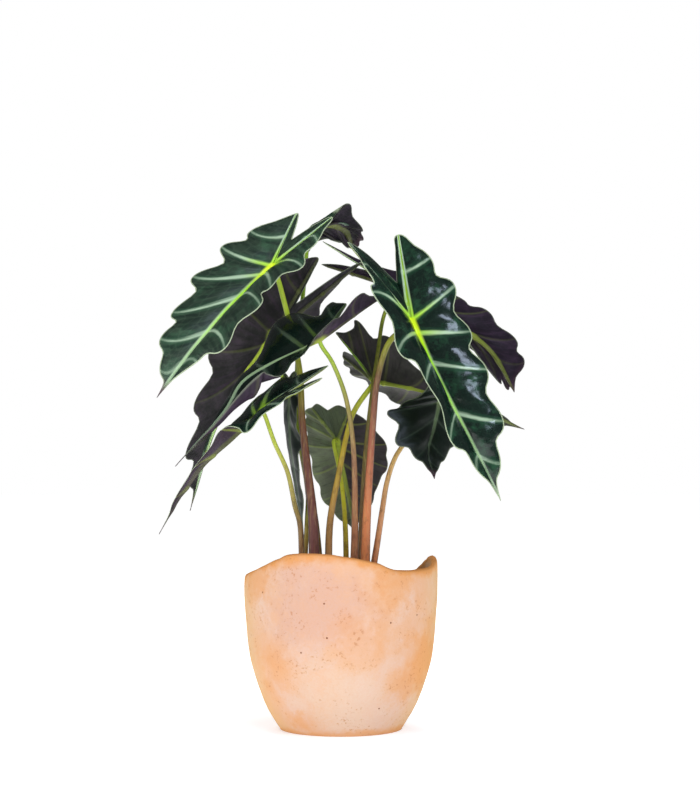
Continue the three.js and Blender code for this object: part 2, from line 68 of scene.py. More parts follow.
# What every leaf has unless its own row says otherwise. notch_right and notch_left are how deep
# each notch of the edge is, or notch for both halves. arch is how far each half arches, and sag how
# much less it does, row by row. lobe_fullness is how round each lobe's tip is, and bow how far the
# side veins bow towards the leaf's tip, in rows. light is how much daylight shows through from
# behind, beside the cleft and in the right half, and in the left half. midrib is how bright the
# midrib is, rib_width its width as a share of MIDRIB_WIDTHS, blush how purple the underside is and
# gloss how waxy the upper face.
USUAL = {
    "notch_right": NOTCH,
    "notch_left": NOTCH,
    "arch": (0.1, 0.1),
    "sag_right": (0,) * (LAST_ROW + 1),
    "sag_left": (0,) * (LAST_ROW + 1),
    "lobe_fullness": (1, 1),
    "bow": (0.06, 0.06),
    "light": (0, 0),
    "midrib": 1,
    "rib_width": 1,
    "blush": 0,
    "gloss": 0.2,
}

# Every leaf: midrib from the junction with the stalk to the tip, bottom of the cleft, ends of the
# lobe rib and six side veins on each half, how bright the side veins are, with veins_above for the
# upper face where it differs, and the stalk: its foot on the mix, radii at foot and junction, the
# route between, and its colours from the foot up.
LEAF_ROWS = {
    "upper_left": {
        "rib": ((-49, -12, 332), (-78, -26, 303), (-105, -36, 271), (-130, -36, 238)),
        "sinus": (-35, -8, 352),
        "right": ((-6, -16, 367), (-17, -28, 348), (-27, -38, 330), (-49, -50, 315),
                  (-56, -56, 302), (-81, -54, 272), (-102, -44, 262)),
        "left": ((-32, 8, 372), (-65, 2, 359), (-86, -4, 347), (-106, -12, 325),
                 (-120, -22, 299), (-128, -30, 280), (-128, -35, 258)),
        "notch_right": (-0.05, 0.17, 0.18, 0.17, 0.17, 0.17, 0.5),
        "notch_left": (0.04, 0.22, 0.27, 0.19, 0.17, 0.1, 0.5),
        "lobe_fullness": (1.6, 0.8),
        "bow": (-0.12, 0.17),
        "arch": (0.1, 0.06),
        "veins": 1,
        "foot": (-19, -9),
        "radii": (4.3, 1.9),
        "route": ((-20, -10, 150), (-24, -6, 186), (-28, -2, 222), (-30, 0, 258),
                  (-37, 0, 291), (-44, -4, 319)),
        "colours": ("#6e4340", "#643a36", "#6a4230", "#9aac2c", "#bce038"),
    },
    "back_left": {
        "rib": ((-50, 32, 284), (-72, 30, 253), (-93, 28, 213), (-111, 30, 155)),
        "sinus": (-33, 38, 308),
        "lobe_fullness": (1, 2.2),
        "right": ((-17, 45, 342), (-43, 52, 339), (-79, 55, 317), (-98, 52, 274),
                  (-109, 46, 234), (-115, 40, 197), (-112, 34, 176)),
        "left": ((15, 50, 339), (-2, 56, 323), (-19, 60, 295), (-40, 62, 274),
                 (-64, 56, 251), (-88, 44, 225), (-101, 36, 201)),
        "arch": (0.08, 0.08),
        "light": (0.1, 0.05),
        "veins": 0.12,
        "veins_above": 0.85,
        "blush": 0.1,
        "foot": (-20, 11),
        "radii": (2.8, 2),
        "route": ((-22, 18, 149), (-26, 24, 185), (-32, 30, 213), (-38, 36, 235),
                  (-44, 38, 258)),
        "colours": ("#8a5a42", "#7c6236", "#93b030", "#a8cc3a"),
    },
    "middle_left": {
        "rib": ((-15, -38, 278), (-65, -42, 253), (-83, -46, 227), (-116, -48, 190)),
        "sinus": (-5, -34, 289),
        "right": ((29, -28, 309), (12, -40, 310), (-7, -58, 291), (-25, -62, 269),
                  (-41, -55, 254), (-57, -60, 254), (-88, -53, 220)),
        "left": ((4, -22, 305), (-9, -12, 305), (-32, -8, 299), (-48, -12, 291),
                 (-59, -24, 266), (-77, -34, 242), (-95, -42, 213)),
        "notch_right": (-0.05, 0.42, 0, 0, 0.1, 0, 0.3),
        "notch_left": (-0.05, 0.42, 0, 0.06, 0.05, 0.08, 0.3),
        "sag_right": (0, 0, 0.05, 0.1, 0.3, 0.42, 0.4, 0.2),
        "veins": 0.1,
        "blush": 0.45,
        "midrib": 0.5,
        "rib_width": 0.35,
        "gloss": 0.7,
        "foot": (9, -8),
        "radii": (3.1, 1.5),
        "route": ((10, -12, 151), (9, -18, 201), (4, -27, 236), (-5, -33, 261)),
        "colours": ("#98604a", "#98623f", "#8a6444", "#84803a", "#a4c838"),
    },
    "lower_left": {
        "rib": ((-56, -30, 229), (-75, -36, 210), (-100, -42, 186), (-128, -40, 142)),
        "sinus": (-37, -30, 242),
        "right": ((-13, -44, 252), (-28, -50, 243), (-42, -54, 234), (-65, -56, 214),
                  (-83, -52, 216), (-102, -50, 190), (-116, -46, 168)),
        "left": ((-9, -18, 261), (-29, -10, 255), (-42, -6, 253), (-62, -10, 237),
                 (-81, -22, 216), (-101, -32, 188), (-115, -38, 168)),
        "arch": (0.1, 0.08),
        "light": (0.1, 0),
        "veins": 0.75,
        "blush": 0.9,
        "midrib": 0.14,
        "gloss": 0.6,
        "foot": (-28, -4),
        "radii": (2.4, 1.5),
        "route": ((-29, -8, 143), (-33, -13, 161), (-38, -20, 185), (-47, -26, 206)),
        "colours": ("#93664c", "#80643c", "#a3a043", "#b5cf3e"),
    },
    "right_front": {
        "rib": ((50, -30, 292), (68, -42, 252), (90, -50, 209), (112, -52, 166)),
        "sinus": (40, -18, 320),
        "right": ((41, -12, 355), (64, -20, 338), (81, -26, 318), (92, -34, 285),
                  (103, -42, 258), (114, -50, 222), (112, -52, 192)),
        "left": ((5, -36, 348), (16, -44, 331), (22, -46, 312), (40, -64, 270),
                 (59, -72, 249), (76, -68, 208), (95, -59, 187)),
        "lobe_fullness": (2.2, 1),
        "bow": (0.03, -0.1),
        "arch": (0.06, 0.1),
        "veins": 1,
        "gloss": 1,
        "foot": (17, -9),
        "radii": (3.8, 2.1),
        "route": ((18, -11, 143), (20, -14, 179), (23, -19, 222), (26, -23, 251),
                  (34, -26, 277)),
        "colours": ("#c4784e", "#c87848", "#985840", "#6e4c36", "#b8ce3c"),
    },
    "right_back": {
        "rib": ((38, 45, 320), (73, 46, 300), (108, 38, 275), (127, 25, 242)),
        "sinus": (21, 55, 333),
        "right": ((-15, 78, 339), (16, 76, 332), (48, 72, 312), (74, 66, 288),
                  (99, 54, 273), (114, 40, 252), (122, 30, 244)),
        "left": ((-14, 74, 356), (20, 72, 340), (63, 66, 331), (89, 60, 313),
                 (109, 52, 303), (129, 42, 282), (135, 32, 264)),
        "notch_right": (0, 0.1, 0.1, 0.2, 0.62, 0.1, 0.3),
        "notch_left": (0, 0.1, 0.1, 0.06, 0.07, 0.08, 0.25),
        "veins": 0.2,
        "veins_above": 0.85,
        "blush": 0.22,
        "midrib": 0.7,
        "foot": (14, 7),
        "radii": (2.5, 1.4),
        "route": ((15, 6, 149), (18, 4, 200), (23, 3, 245), (27, 12, 273), (31, 27, 297)),
        "colours": ("#7a5036", "#66582c", "#6c7028", "#8ca830"),
    },
    "top_back": {
        "rib": ((-31, 60, 356), (-15, 78, 368), (2, 98, 366), (9, 116, 353)),
        "sinus": (-39, 56, 350),
        "right": ((-43, 58, 339), (-34, 66, 340), (-25, 75, 348), (-15, 86, 358),
                  (-3, 98, 357), (5, 106, 353), (8, 112, 353)),
        "left": ((-38, 50, 348), (-29, 62, 358), (-13, 76, 371), (5, 88, 386),
                 (16, 100, 368), (17, 108, 360), (13, 113, 355)),
        "notch": (0, 0.1, 0.1, 0.03, 0.03, 0.05, 0.2),
        "veins": 0.1,
        "veins_above": 0.85,
        "midrib": 0.4,
        "foot": (-14, 13),
        "radii": (2.4, 1.6),
        "route": ((-19, 25, 150), (-27, 35, 186), (-33, 46, 222), (-33, 60, 259),
                  (-31, 68, 292), (-28, 64, 324)),
        "colours": ("#8a5a35", "#7f7a30", "#7d9a2c", "#8ab02c"),
    },
    "centre_right": {
        "rib": ((24, 14, 249), (58, 20, 243), (97, 24, 231), (134, 20, 215)),
        "sinus": (9, 24, 269),
        "right": ((1, 38, 269), (2, 44, 263), (8, 46, 255), (23, 48, 245), (41, 46, 234),
                  (73, 40, 225), (109, 28, 217)),
        "left": ((-4, 30, 286), (5, 33, 287), (12, 34, 295), (35, 36, 283), (61, 36, 256),
                 (93, 32, 242), (119, 25, 225)),
        "notch": (0, 0.02, 0.16, 0.02, 0.06, 0.1, 0.3),
        "arch": (0.08, 0.06),
        "light": (0.28, 0.2),
        "veins": 0.2,
        "veins_above": 0.85,
        "blush": 0.25,
        "midrib": 0.6,
        "foot": (-9, -4),
        "radii": (2.9, 1.9),
        "route": ((-8, -4, 147), (-1, -3, 186), (5, 2, 215), (11, 6, 231)),
        "colours": ("#a47454", "#a0783c", "#b8a436", "#bcd838"),
    },
    "centre_back": {
        "rib": ((-3, 36, 206), (1, 41, 185), (6, 46, 162), (10, 50, 139)),
        "sinus": (-10, 42, 229),
        "right": ((-22, 44, 231), (-27, 50, 228), (-27, 54, 219), (-26, 56, 203),
                  (-21, 56, 181), (-14, 54, 162), (-2, 52, 148)),
        "left": ((6, 32, 229), (20, 30, 220), (33, 28, 204), (34, 28, 187), (27, 34, 173),
                 (23, 40, 160), (15, 46, 148)),
        "notch": (-0.12, 0, 0.02, 0.03, 0.04, 0.05, 0.18),
        "arch": (0.06, 0.06),
        "light": (1, 0.2),
        "veins": 0.45,
        "veins_above": 0.85,
        "blush": 0.5,
        "midrib": 0.8,
        "foot": (4, 6),
        "radii": (2.2, 1.6),
        "route": ((3, 11, 146), (0, 25, 178)),
        "colours": ("#b88c48", "#d8c83a", "#d0d43c", "#c0d840"),
    },
    "small_right": {
        "rib": ((72, 8, 239), (67, 0, 218), (62, -8, 198), (67, -14, 180)),
        "sinus": (77, 10, 248),
        "right": ((81, 14, 253), (92, 18, 244), (96, 20, 234), (93, 16, 219), (83, 6, 205),
                  (75, -4, 194), (70, -9, 187)),
        "left": ((66, 4, 251), (59, 0, 242), (45, -6, 235), (33, -12, 227), (39, -18, 206),
                 (53, -18, 195), (62, -16, 187)),
        "notch": (0, 0.05, 0.06, 0.14, 0.08, 0.08, 0.15),
        "arch": (0.08, 0.08),
        "veins": 0.06,
        "midrib": 0.2,
        "foot": (21, 0),
        "radii": (2.6, 1.5),
        "route": ((26, 1, 132), (30, 3, 158), (33, 4, 176), (38, 5, 192), (45, 6, 204)),
        "colours": ("#d67e54", "#dca070", "#e4c070", "#d8d860"),
    },
    "hanging": {
        "rib": ((-37, 14, 245), (-37, 12, 211), (-32, 9, 175), (-27, 6, 137)),
        "sinus": (-38, 16, 253),
        "right": ((-33, 6, 257), (-29, 3, 247), (-27, 2, 236), (-32, 3, 222), (-28, 3, 205),
                  (-30, 3, 186), (-27, 4, 164)),
        "left": ((-42, 24, 256), (-43, 27, 247), (-42, 28, 238), (-42, 26, 223),
                 (-40, 22, 207), (-37, 17, 189), (-33, 11, 167)),
        "arch": (0.05, 0.05),
        "veins": 0.05,
        "midrib": 0.1,
        "foot": (-27, 6),
        "radii": (2, 1.3),
        "route": ((-25, 8, 142), (-24, 11, 178), (-27, 14, 215)),
        "colours": ("#8a5a35", "#7f7a30", "#7d9a2c", "#8ab02c"),
    },
}
LEAVES = {name: {**USUAL, **row} for name, row in LEAF_ROWS.items()}

# The clay cup, as in the solid: outside from the base up as (radius, height), and the rim's height
# round it as (degrees from +X, height).
POT_OUTSIDE = ((42.5, 0), (45, 1.8), (50, 9), (54.4, 17), (59.2, 28.5), (63, 41), (66.3, 54),
               (68.4, 72), (70, 96))
POT_RIM = ((0, 122.5), (8, 124), (20, 121), (30, 115.5), (45, 110.5), (90, 112), (135, 113),
           (180, 111.7), (200, 115), (215, 119.8), (230, 125.8), (246, 130.3), (258, 130.5),
           (270, 129), (293, 123.7), (314, 117.6), (335, 118.2), (350, 121.2))
POT_WALL = 5.5
POT_FLOOR = 8
BLADE_THICKNESS = 0.6
SHOULDER = 96  # height from which the wall is stretched to the rim
SOIL_TOP = 98
SOIL_LEVELS = (8, 17, 41, 72, 96)
STALK_DEPTH = 14
STALK_UPRIGHT = 4
STALK_FLARE = 1.8
STALK_HOOK = 6
GAP = 0.35

# The photograph's view: distance, height and offset of a level camera, and its lens.
CAMERA_PLACE = (6.5, -1630, 236.5)
SENSOR_HEIGHT = 36
FOCAL_LENGTH = 101.66

# Sockets of a Mix node that mixes colours.
MIX_FACTOR, MIX_A, MIX_B, MIX_RESULT = 0, 6, 7, 2


# ------------------------------------------------------------------ small helpers

def linear(code):
    """A colour given as sRGB hex, as linear red, green and blue."""
    values = [int(code[n:n + 2], 16) / 255 for n in (1, 3, 5)]
    return tuple(v / 12.92 if v <= 0.04045 else ((v + 0.055) / 1.055) ** 2.4 for v in values)


BLACK, WHITE = linear("#000000"), linear("#ffffff")


def per_mm(size):
    """Texture scale for a feature of that many millimetres."""
    return 1 / (size * MM)


def add(tree, kind, inputs=(), **settings):
    """Add a node with its settings. inputs fill its sockets, in order or by name: each is a value,
    a socket that feeds it, or a node, which stands for its first output."""
    node = tree.nodes.new(kind)
    for name, value in settings.items():
        setattr(node, name, value)
    for key, value in (inputs.items() if isinstance(inputs, dict) else enumerate(inputs)):
        socket = node.inputs[key]
        if isinstance(value, bpy.types.Node):
            value = value.outputs[0]
        if isinstance(value, bpy.types.NodeSocket):
            tree.links.new(value, socket)
        else:
            socket.default_value = (*value, 1.0) if socket.type == "RGBA" else value
    return node


def mask(tree, *factors):
    """Factors multiplied together. One in a tuple comes with a range and two ends: over that range
    it runs smoothly from the first end to the second."""
    total = None
    for factor in factors:
        if isinstance(factor, tuple):
            factor = add(tree, "ShaderNodeMapRange", factor, interpolation_type="SMOOTHSTEP")
        if total is not None:
            factor = add(tree, "ShaderNodeMath", (total, factor), operation="MULTIPLY")
        total = factor
    return total


def paint(tree, colour, *coats):
    """Lay coats over a colour. Each is its own colour and the factors of the mask it shows by."""
    for coat, *factors in coats:
        laid = add(tree, "ShaderNodeMix", {
            MIX_FACTOR: mask(tree, *factors), MIX_A: colour, MIX_B: coat,
        }, data_type="RGBA")
        colour = laid.outputs[MIX_RESULT]
    return colour


def relief(tree, *layers):
    """Fine relief, in layers of heights, strength and depth in millimetres. A depth below zero
    turns the heights into hollows."""
    below = {}
    for heights, strength, depth in layers:
        bump = add(tree, "ShaderNodeBump", {
            "Height": heights, "Strength": strength, "Distance": abs(depth) * MM, **below,
        }, invert=depth < 0)
        below = {"Normal": bump}
    return bump


def new_material(name):
    """An empty material, and the tree that it is made in."""
    material = bpy.data.materials.new(name)
    material.use_nodes = True
    material.node_tree.nodes.clear()
    return material, material.node_tree


def new_object(name, points, faces=(), edges=()):
    """A mesh object at the origin from points in millimetres."""
    mesh = bpy.data.meshes.new(name)
    mesh.from_pydata((np.asarray(points) * MM).tolist(), list(edges), list(faces))
    piece = bpy.data.objects.new(name, mesh)
    bpy.context.scene.collection.objects.link(piece)
    return piece


def store(mesh, name, values):
    """A number for each point of the mesh, kept under a name."""
    mesh.attributes.new(name, "FLOAT", "POINT").data.foreach_set(
        "value", np.asarray(values, np.float32))


def dress(piece, *nodes, slot):
    """Hand a finished piece to the frame: it rides the root and stands for these nodes."""
    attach(piece, BODY)
    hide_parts(*nodes)


def grown(piece, tree, **values):
    """Run a geometry tree on the piece and keep the result as its plain mesh."""
    modifier = piece.modifiers.new(tree.name, "NODES")
    modifier.node_group = tree
    for item in tree.interface.items_tree:
        if item.item_type == "SOCKET" and item.in_out == "INPUT" and item.name in values:
            modifier[item.identifier] = values[item.name]
    depsgraph = bpy.context.evaluated_depsgraph_get()
    made = bpy.data.meshes.new_from_object(piece.evaluated_get(depsgraph))
    piece.modifiers.clear()
    old, piece.data = piece.data, made
    made.name = piece.name
    bpy.data.meshes.remove(old)
    return piece


def geometry_tree(name, numbers):
    """A geometry tree with a mesh going in and out, a material input and named numbers."""
    tree = bpy.data.node_groups.new(name, "GeometryNodeTree")
    tree.interface.new_socket("Geometry", in_out="OUTPUT", socket_type="NodeSocketGeometry")
    for label, kind in {"Geometry": "Geometry", "Material": "Material", **numbers}.items():
        tree.interface.new_socket(label, in_out="INPUT", socket_type="NodeSocket" + kind)
    return tree, add(tree, "NodeGroupInput").outputs


def close_tree(tree, geometry, material):
    """End a geometry tree with real faces, smooth shading and its material."""
    real = add(tree, "GeometryNodeRealizeInstances", (geometry,))
    smooth = add(tree, "GeometryNodeSetShadeSmooth", (real,))
    done = add(tree, "GeometryNodeSetMaterial", {"Geometry": smooth, "Material": material})
    add(tree, "NodeGroupOutput", (done,))


def smooth_line(points, at, fullness=1.0):
    """Places on the smooth curve through points, where at counts them from 0. A point's fullness
    over 1 rounds the curve there, and under 1 sharpens it."""
    points = np.asarray(points, float)
    at = np.asarray(at, float)
    padded = np.vstack([2 * points[0] - points[1], points, 2 * points[-1] - points[-2]])
    speed = (padded[2:] - padded[:-2]) / 2 * np.broadcast_to(fullness, len(points))[:, None]
    n = np.clip(at.astype(int), 0, len(points) - 2)
    f = (at - n)[..., None]
    g = 1 - f
    ends = points[n] * (1 + 2 * f) * g ** 2 + points[n + 1] * (1 + 2 * g) * f ** 2
    return ends + speed[n] * f * g ** 2 - speed[n + 1] * f ** 2 * g


def point_normals(points, faces):
    """Unit normals of the points, weighted by the area of the faces that meet there."""
    corners = points[faces]
    across = np.cross(corners[:, 1] - corners[:, 0], corners[:, 2] - corners[:, 0])
    sums = np.zeros_like(points)
    for n in range(3):
        np.add.at(sums, faces[:, n], across)
    return sums / np.maximum(np.linalg.norm(sums, axis=1, keepdims=True), 1e-9)


def distance_to_line(points, line):
    """Each point's distance to a line of straight stretches, and where along it from 0 to 1."""
    start, end = line[:-1], line[1:]
    along = end - start
    square = np.maximum((along ** 2).sum(1), 1e-9)
    share = ((points[:, None] - start) * along).sum(2) / square
    share = np.clip(share, 0, 1)
    reach = np.linalg.norm(points[:, None] - start - share[..., None] * along, axis=2)
    nearest = reach.argmin(1)
    rows = np.arange(len(points))
    place = (nearest + share[rows, nearest]) / len(along)
    return reach[rows, nearest], place


# ------------------------------------------------------------------ leaf blades

SIDES = ("right", "left")

# How round the edge is at a vein's end, in a notch and at the leaf's tip.
SCALLOP_FULLNESS = 1.7
NOTCH_FULLNESS = 0.9
TIP_FULLNESS = 0.6


class Half:
    """One half of a blade: where its rows start on a rib and where they end on the edge."""

    def __init__(self, leaf, side):
        number = SIDES.index(side)
        self.bow = leaf["bow"][number]
        self.rib = np.array(leaf["rib"], float)
        self.ends = np.array([*leaf[side], leaf["rib"][-1]], float)
        junction, tip, sinus = self.rib[0], self.ends[0], np.array(leaf["sinus"], float)
        middle = sinus + (tip - sinus) * SINUS_SHARE
        knots = [sinus, middle + (middle - junction - (tip - junction) * SINUS_SHARE) * SINUS_BULGE]
        fullness = [1, 1]
        for n, depth in enumerate(leaf.get("notch", leaf["notch_" + side])):
            centre = (self.ends[n] + self.ends[n + 1]) / 2
            knots += [self.ends[n], centre + (self.start([n + 0.5])[0] - centre) * depth]
            fullness += [SCALLOP_FULLNESS, NOTCH_FULLNESS]
        fullness[2] = leaf["lobe_fullness"][number]
        self.knots = np.array([*knots, self.ends[-1]])
        self.fullness = np.array([*fullness, TIP_FULLNESS])

    def start(self, rows):
        """Where rows leave the lobe rib or the midrib."""
        rows = np.asarray(rows, float)
        on_lobe = np.interp(rows, range(len(LOBE_STARTS)), LOBE_STARTS)[:, None]
        lobe = self.rib[0] + (self.ends[0] - self.rib[0]) * on_lobe
        on_rib = np.interp(rows, range(FIRST_MIDRIB_ROW, LAST_ROW + 1), MIDRIB_STARTS)
        midrib = smooth_line(self.rib, on_rib * (len(self.rib) - 1))
        return np.where(rows[:, None] < FIRST_MIDRIB_ROW, lobe, midrib)

    def outer(self, rows):
        """Where rows end on the scalloped edge."""
        return smooth_line(self.knots, 2 + 2 * np.asarray(rows, float), self.fullness)

    def inner(self, rows):
        """Where the lobe's rows end in the cleft."""
        return smooth_line(self.knots, 2 - np.asarray(rows, float), self.fullness)

    def ruled(self, rows, outside):
        """The half's flat surface: a line of points for each row, from the rib to the edge."""
        rows, across = np.broadcast_arrays(np.asarray(rows, float)[:, None], ALONG_ROW)
        if outside:
            fade = np.minimum(1, np.minimum(rows, LAST_ROW - rows))
            rows = rows + self.bow * 4 * across * (1 - across) * fade
        start = self.start(rows.ravel())
        end = (self.outer if outside else self.inner)(rows.ravel())
        return (start + (end - start) * across.reshape(-1, 1)).reshape(*rows.shape, 3)


# Rows between two side veins and points along a row. Both crowd towards the veins, the ribs and
# the edge, where the relief is.
ROW_SHARES = (0, 0.03, 0.07, 0.13, 0.22, 0.36, 0.5, 0.64, 0.78, 0.87, 0.93, 0.97)
ALONG_ROW = np.array((0, 0.02, 0.045, 0.08, 0.14, 0.22, 0.31, 0.41, 0.51, 0.61, 0.71, 0.8,
                      0.88, 0.94, 0.975, 1))
QUILT_WIDTH = 25
QUILT_RISE = 0.05
EDGE_LIFT = 0.06


def blade_sheet(leaf):
    """The middle surface of a blade: points, faces, and for each point its rise along the normal,
    its row, its place along the row (below 0 inside the cleft) and its half, 0 or 1."""
    points, faces, values = [], [], []
    rows = np.array([n + share for n in range(LAST_ROW) for share in ROW_SHARES] + [LAST_ROW])
    lobe_rows = rows[rows <= FIRST_MIDRIB_ROW]
    for number, side in enumerate(SIDES):
        half = Half(leaf, side)
        for lines, outside in ((rows, True), (lobe_rows, False)):
            ends = half.outer(lines) if outside else half.inner(lines)
            width = np.linalg.norm(ends - half.start(lines), axis=1)[:, None]
            grid = half.ruled(lines, outside)
            hump = 4 * ALONG_ROW * (1 - ALONG_ROW)
            if outside:
                sag = np.interp(lines, range(LAST_ROW + 1), leaf["sag_" + side])
                arch = (leaf["arch"][number] - sag)[:, None]
                panel = np.sin(np.pi * (lines % 1))[:, None] ** 2 * np.minimum(width, QUILT_WIDTH)
                rise = arch * width * hump + panel * (
                    QUILT_RISE * np.sin(np.pi * ALONG_ROW) + EDGE_LIFT * ALONG_ROW ** 2)
            else:
                rise = QUILT_RISE * width * hump * (lines < FIRST_MIDRIB_ROW)[:, None]
            base = sum(map(len, points))
            index = base + np.arange(rise.size).reshape(rise.shape)
            a, b, c, d = index[:-1, :-1], index[1:, :-1], index[1:, 1:], index[:-1, 1:]
            pairs = np.vstack([np.stack(t, -1).reshape(-1, 3) for t in ((a, b, c), (a, c, d))])
            faces.append(pairs if outside == (side == "right") else pairs[:, ::-1])
            points.append(grid.reshape(-1, 3))
            row, across = np.broadcast_arrays(lines[:, None], ALONG_ROW)
            across = across if outside else -across
            halved = np.full(rise.shape, number)
            values.append(np.stack([rise, row, across, halved]).reshape(4, -1))
    return merged(np.vstack(points), np.vstack(faces), *np.hstack(values))


def merged(points, faces, *values):
    """The same surface with points that fall together kept once and empty faces dropped."""
    keys = np.round(points * 1000).astype(np.int64)
    _, first, index = np.unique(keys, axis=0, return_index=True, return_inverse=True)
    faces = index.reshape(-1)[faces]
    real = (faces != np.roll(faces, 1, axis=1)).all(axis=1)
    return points[first], faces[real], *(value[first] for value in values)


# Half widths of the lines on a blade, in millimetres, at places from 0 to 1 along them. They hold
# for a leaf of USUAL_LENGTH, and grow with the root of the length.
MIDRIB_WIDTHS = ((0, 0.15, 0.8, 1), (2.7, 2.2, 1.5, 0.9))
LOBE_RIB_WIDTHS = ((0, 1), (1.6, 0.6))
SIDE_VEIN_WIDTHS = ((0, 1), (1.3, 0.5))
USUAL_LENGTH = 100


def vein_fields(leaf, points):
    """How far each point lies from a side vein, the midrib and a lobe rib, as shares of that line's
    half width there, from the edge in millimetres, and from the junction as a share of the leaf."""
    length = np.linalg.norm(np.array(leaf["rib"][-1]) - leaf["rib"][0])

    def away(line, widths, broad=1):
        """Distances from a line, as shares of its half width there."""
        reach, place = distance_to_line(points, line)
        return reach / ((length / USUAL_LENGTH) ** 0.5 * broad * np.interp(place, *widths))

    veins, lobes, edges = [], [], []
    for side in SIDES:
        half = Half(leaf, side)
        lobes.append(away(np.array([half.rib[0], half.ends[0]]), LOBE_RIB_WIDTHS))
        for row in range(1, LAST_ROW):
            veins.append(away(half.ruled([row], True)[0], SIDE_VEIN_WIDTHS))
        cleft = half.inner(np.linspace(FIRST_MIDRIB_ROW, 0, 20))
        outline = np.vstack([cleft, half.outer(np.linspace(0, LAST_ROW, 141))])
        edges.append(distance_to_line(points, outline)[0])
    midrib = smooth_line(leaf["rib"], np.linspace(0, len(leaf["rib"]) - 1, 40))
    return {
        "vein": np.min(veins, axis=0),
        "rib": away(midrib, MIDRIB_WIDTHS, leaf["rib_width"]),
        "lobe": np.min(lobes, axis=0),
        "edge": np.min(edges, axis=0),
        "reach": np.linalg.norm(points - leaf["rib"][0], axis=1) / length,
    }


# The blade thins towards its edge over THIN_EDGE millimetres, to THINNEST of its thickness. The
# ribs below are RIB_RISE times as high as the side veins, and grooves GROOVE_WIDTH as wide.
THIN_EDGE = 2
THINNEST = 0.35
RIB_RISE = 1.3
GROOVE_WIDTH = 0.8


def blade_piece(name, leaf, settings, materials):
    """A blade with its thickness, sunk veins above and raised ribs below."""
    points, faces, rises, rows, across, halves = blade_sheet(leaf)
    fields = vein_fields(leaf, points)
    points = points + point_normals(points, faces) * rises[:, None]
    normals = point_normals(points, faces)
    taper = np.clip(fields["edge"] / THIN_EDGE, THINNEST, 1)[:, None] / MM
    groove = np.exp(-(fields["vein"] / GROOVE_WIDTH) ** 2)[:, None]
    ridge = RIB_RISE * np.exp(-np.minimum(fields["rib"], fields["lobe"]) ** 2)[:, None]
    ridge += np.exp(-fields["vein"] ** 2)[:, None]
    upper = points + normals * (settings.thickness / 2 - settings.vein_groove * groove) * taper
    lower = points - normals * (settings.thickness / 2 + settings.rib_height * ridge) * taper
    count = len(points)
    start, end = open_edges(faces).T
    skirt = np.vstack([
        np.column_stack([end, start, start + count]), np.column_stack([end, start + count, end + count]),
    ])
    sides = np.vstack([faces, faces[:, ::-1] + count, skirt])
    piece = new_object(name, np.vstack([upper, lower]), sides.tolist())
    mesh = piece.data
    for material in materials:
        mesh.materials.append(material)
    under = np.zeros(len(sides), np.int32)
    under[len(faces):2 * len(faces)] = 1
    mesh.polygons.foreach_set("material_index", under)
    mesh.polygons.foreach_set("use_smooth", np.ones(len(sides), bool))
    light = np.array(leaf["light"])[np.where(across < 0, 0, halves).astype(int)]
    fields |= {"light": light, "row": rows, "across": across + HALVES_APART * halves}
    for label, values in fields.items():
        store(mesh, label, np.hstack([values, values]))
    bright = leaf.get("veins_above", leaf["veins"]), leaf["veins"]
    store(mesh, "bright", np.repeat(bright, count))
    for label in ("blush", "midrib", "gloss"):
        store(mesh, label, np.full(2 * count, leaf[label]))
    mesh.validate()
    return piece


def open_edges(faces):
    """The edges that belong to one face only, in that face's direction."""
    sides = np.vstack([faces[:, [0, 1]], faces[:, [1, 2]], faces[:, [2, 0]]])
    size = faces.max() + 1
    forward = sides[:, 0] * size + sides[:, 1]
    backward = sides[:, 1] * size + sides[:, 0]
    return sides[~np.isin(forward, backward)]


# The numbers that a blade's mesh carries for its materials.
BLADE_NUMBERS = ("vein", "rib", "lobe", "edge", "reach", "light", "row", "across", "bright",
                 "blush", "midrib", "gloss")
HALVES_APART = 3  # keeps the net of one half away from the other's
NET_SPACING = (3.2, 5, 0)  # cells of the net in a row, and along it
STREAK_SPACING = (7, 1.3, 0)


def blade_numbers(tree):
    """What both faces of a blade read: its own numbers, the place, how far the nearest line of the
    fine net between the veins is, and streaks that run alongside the veins."""
    here = SimpleNamespace()
    for name in BLADE_NUMBERS:
        setattr(here, name, add(tree, "ShaderNodeAttribute", attribute_name=name).outputs["Fac"])
    here.place = add(tree, "ShaderNodeTexCoord").outputs["Object"]
    spot = add(tree, "ShaderNodeCombineXYZ", (here.row, here.across))
    net, drawn = (add(tree, "ShaderNodeVectorMath", (spot, spacing), operation="MULTIPLY")
                  for spacing in (NET_SPACING, STREAK_SPACING))
    here.net = add(tree, "ShaderNodeTexVoronoi", {"Vector": net, "Scale": 1, "Randomness": 0.8},
                   feature="DISTANCE_TO_EDGE", voronoi_dimensions="2D")
    here.streaks = add(tree, "ShaderNodeTexNoise", {
        "Vector": drawn, "Scale": 1, "Detail": 4, "Roughness": 0.6,
    }, noise_dimensions="2D")
    return here


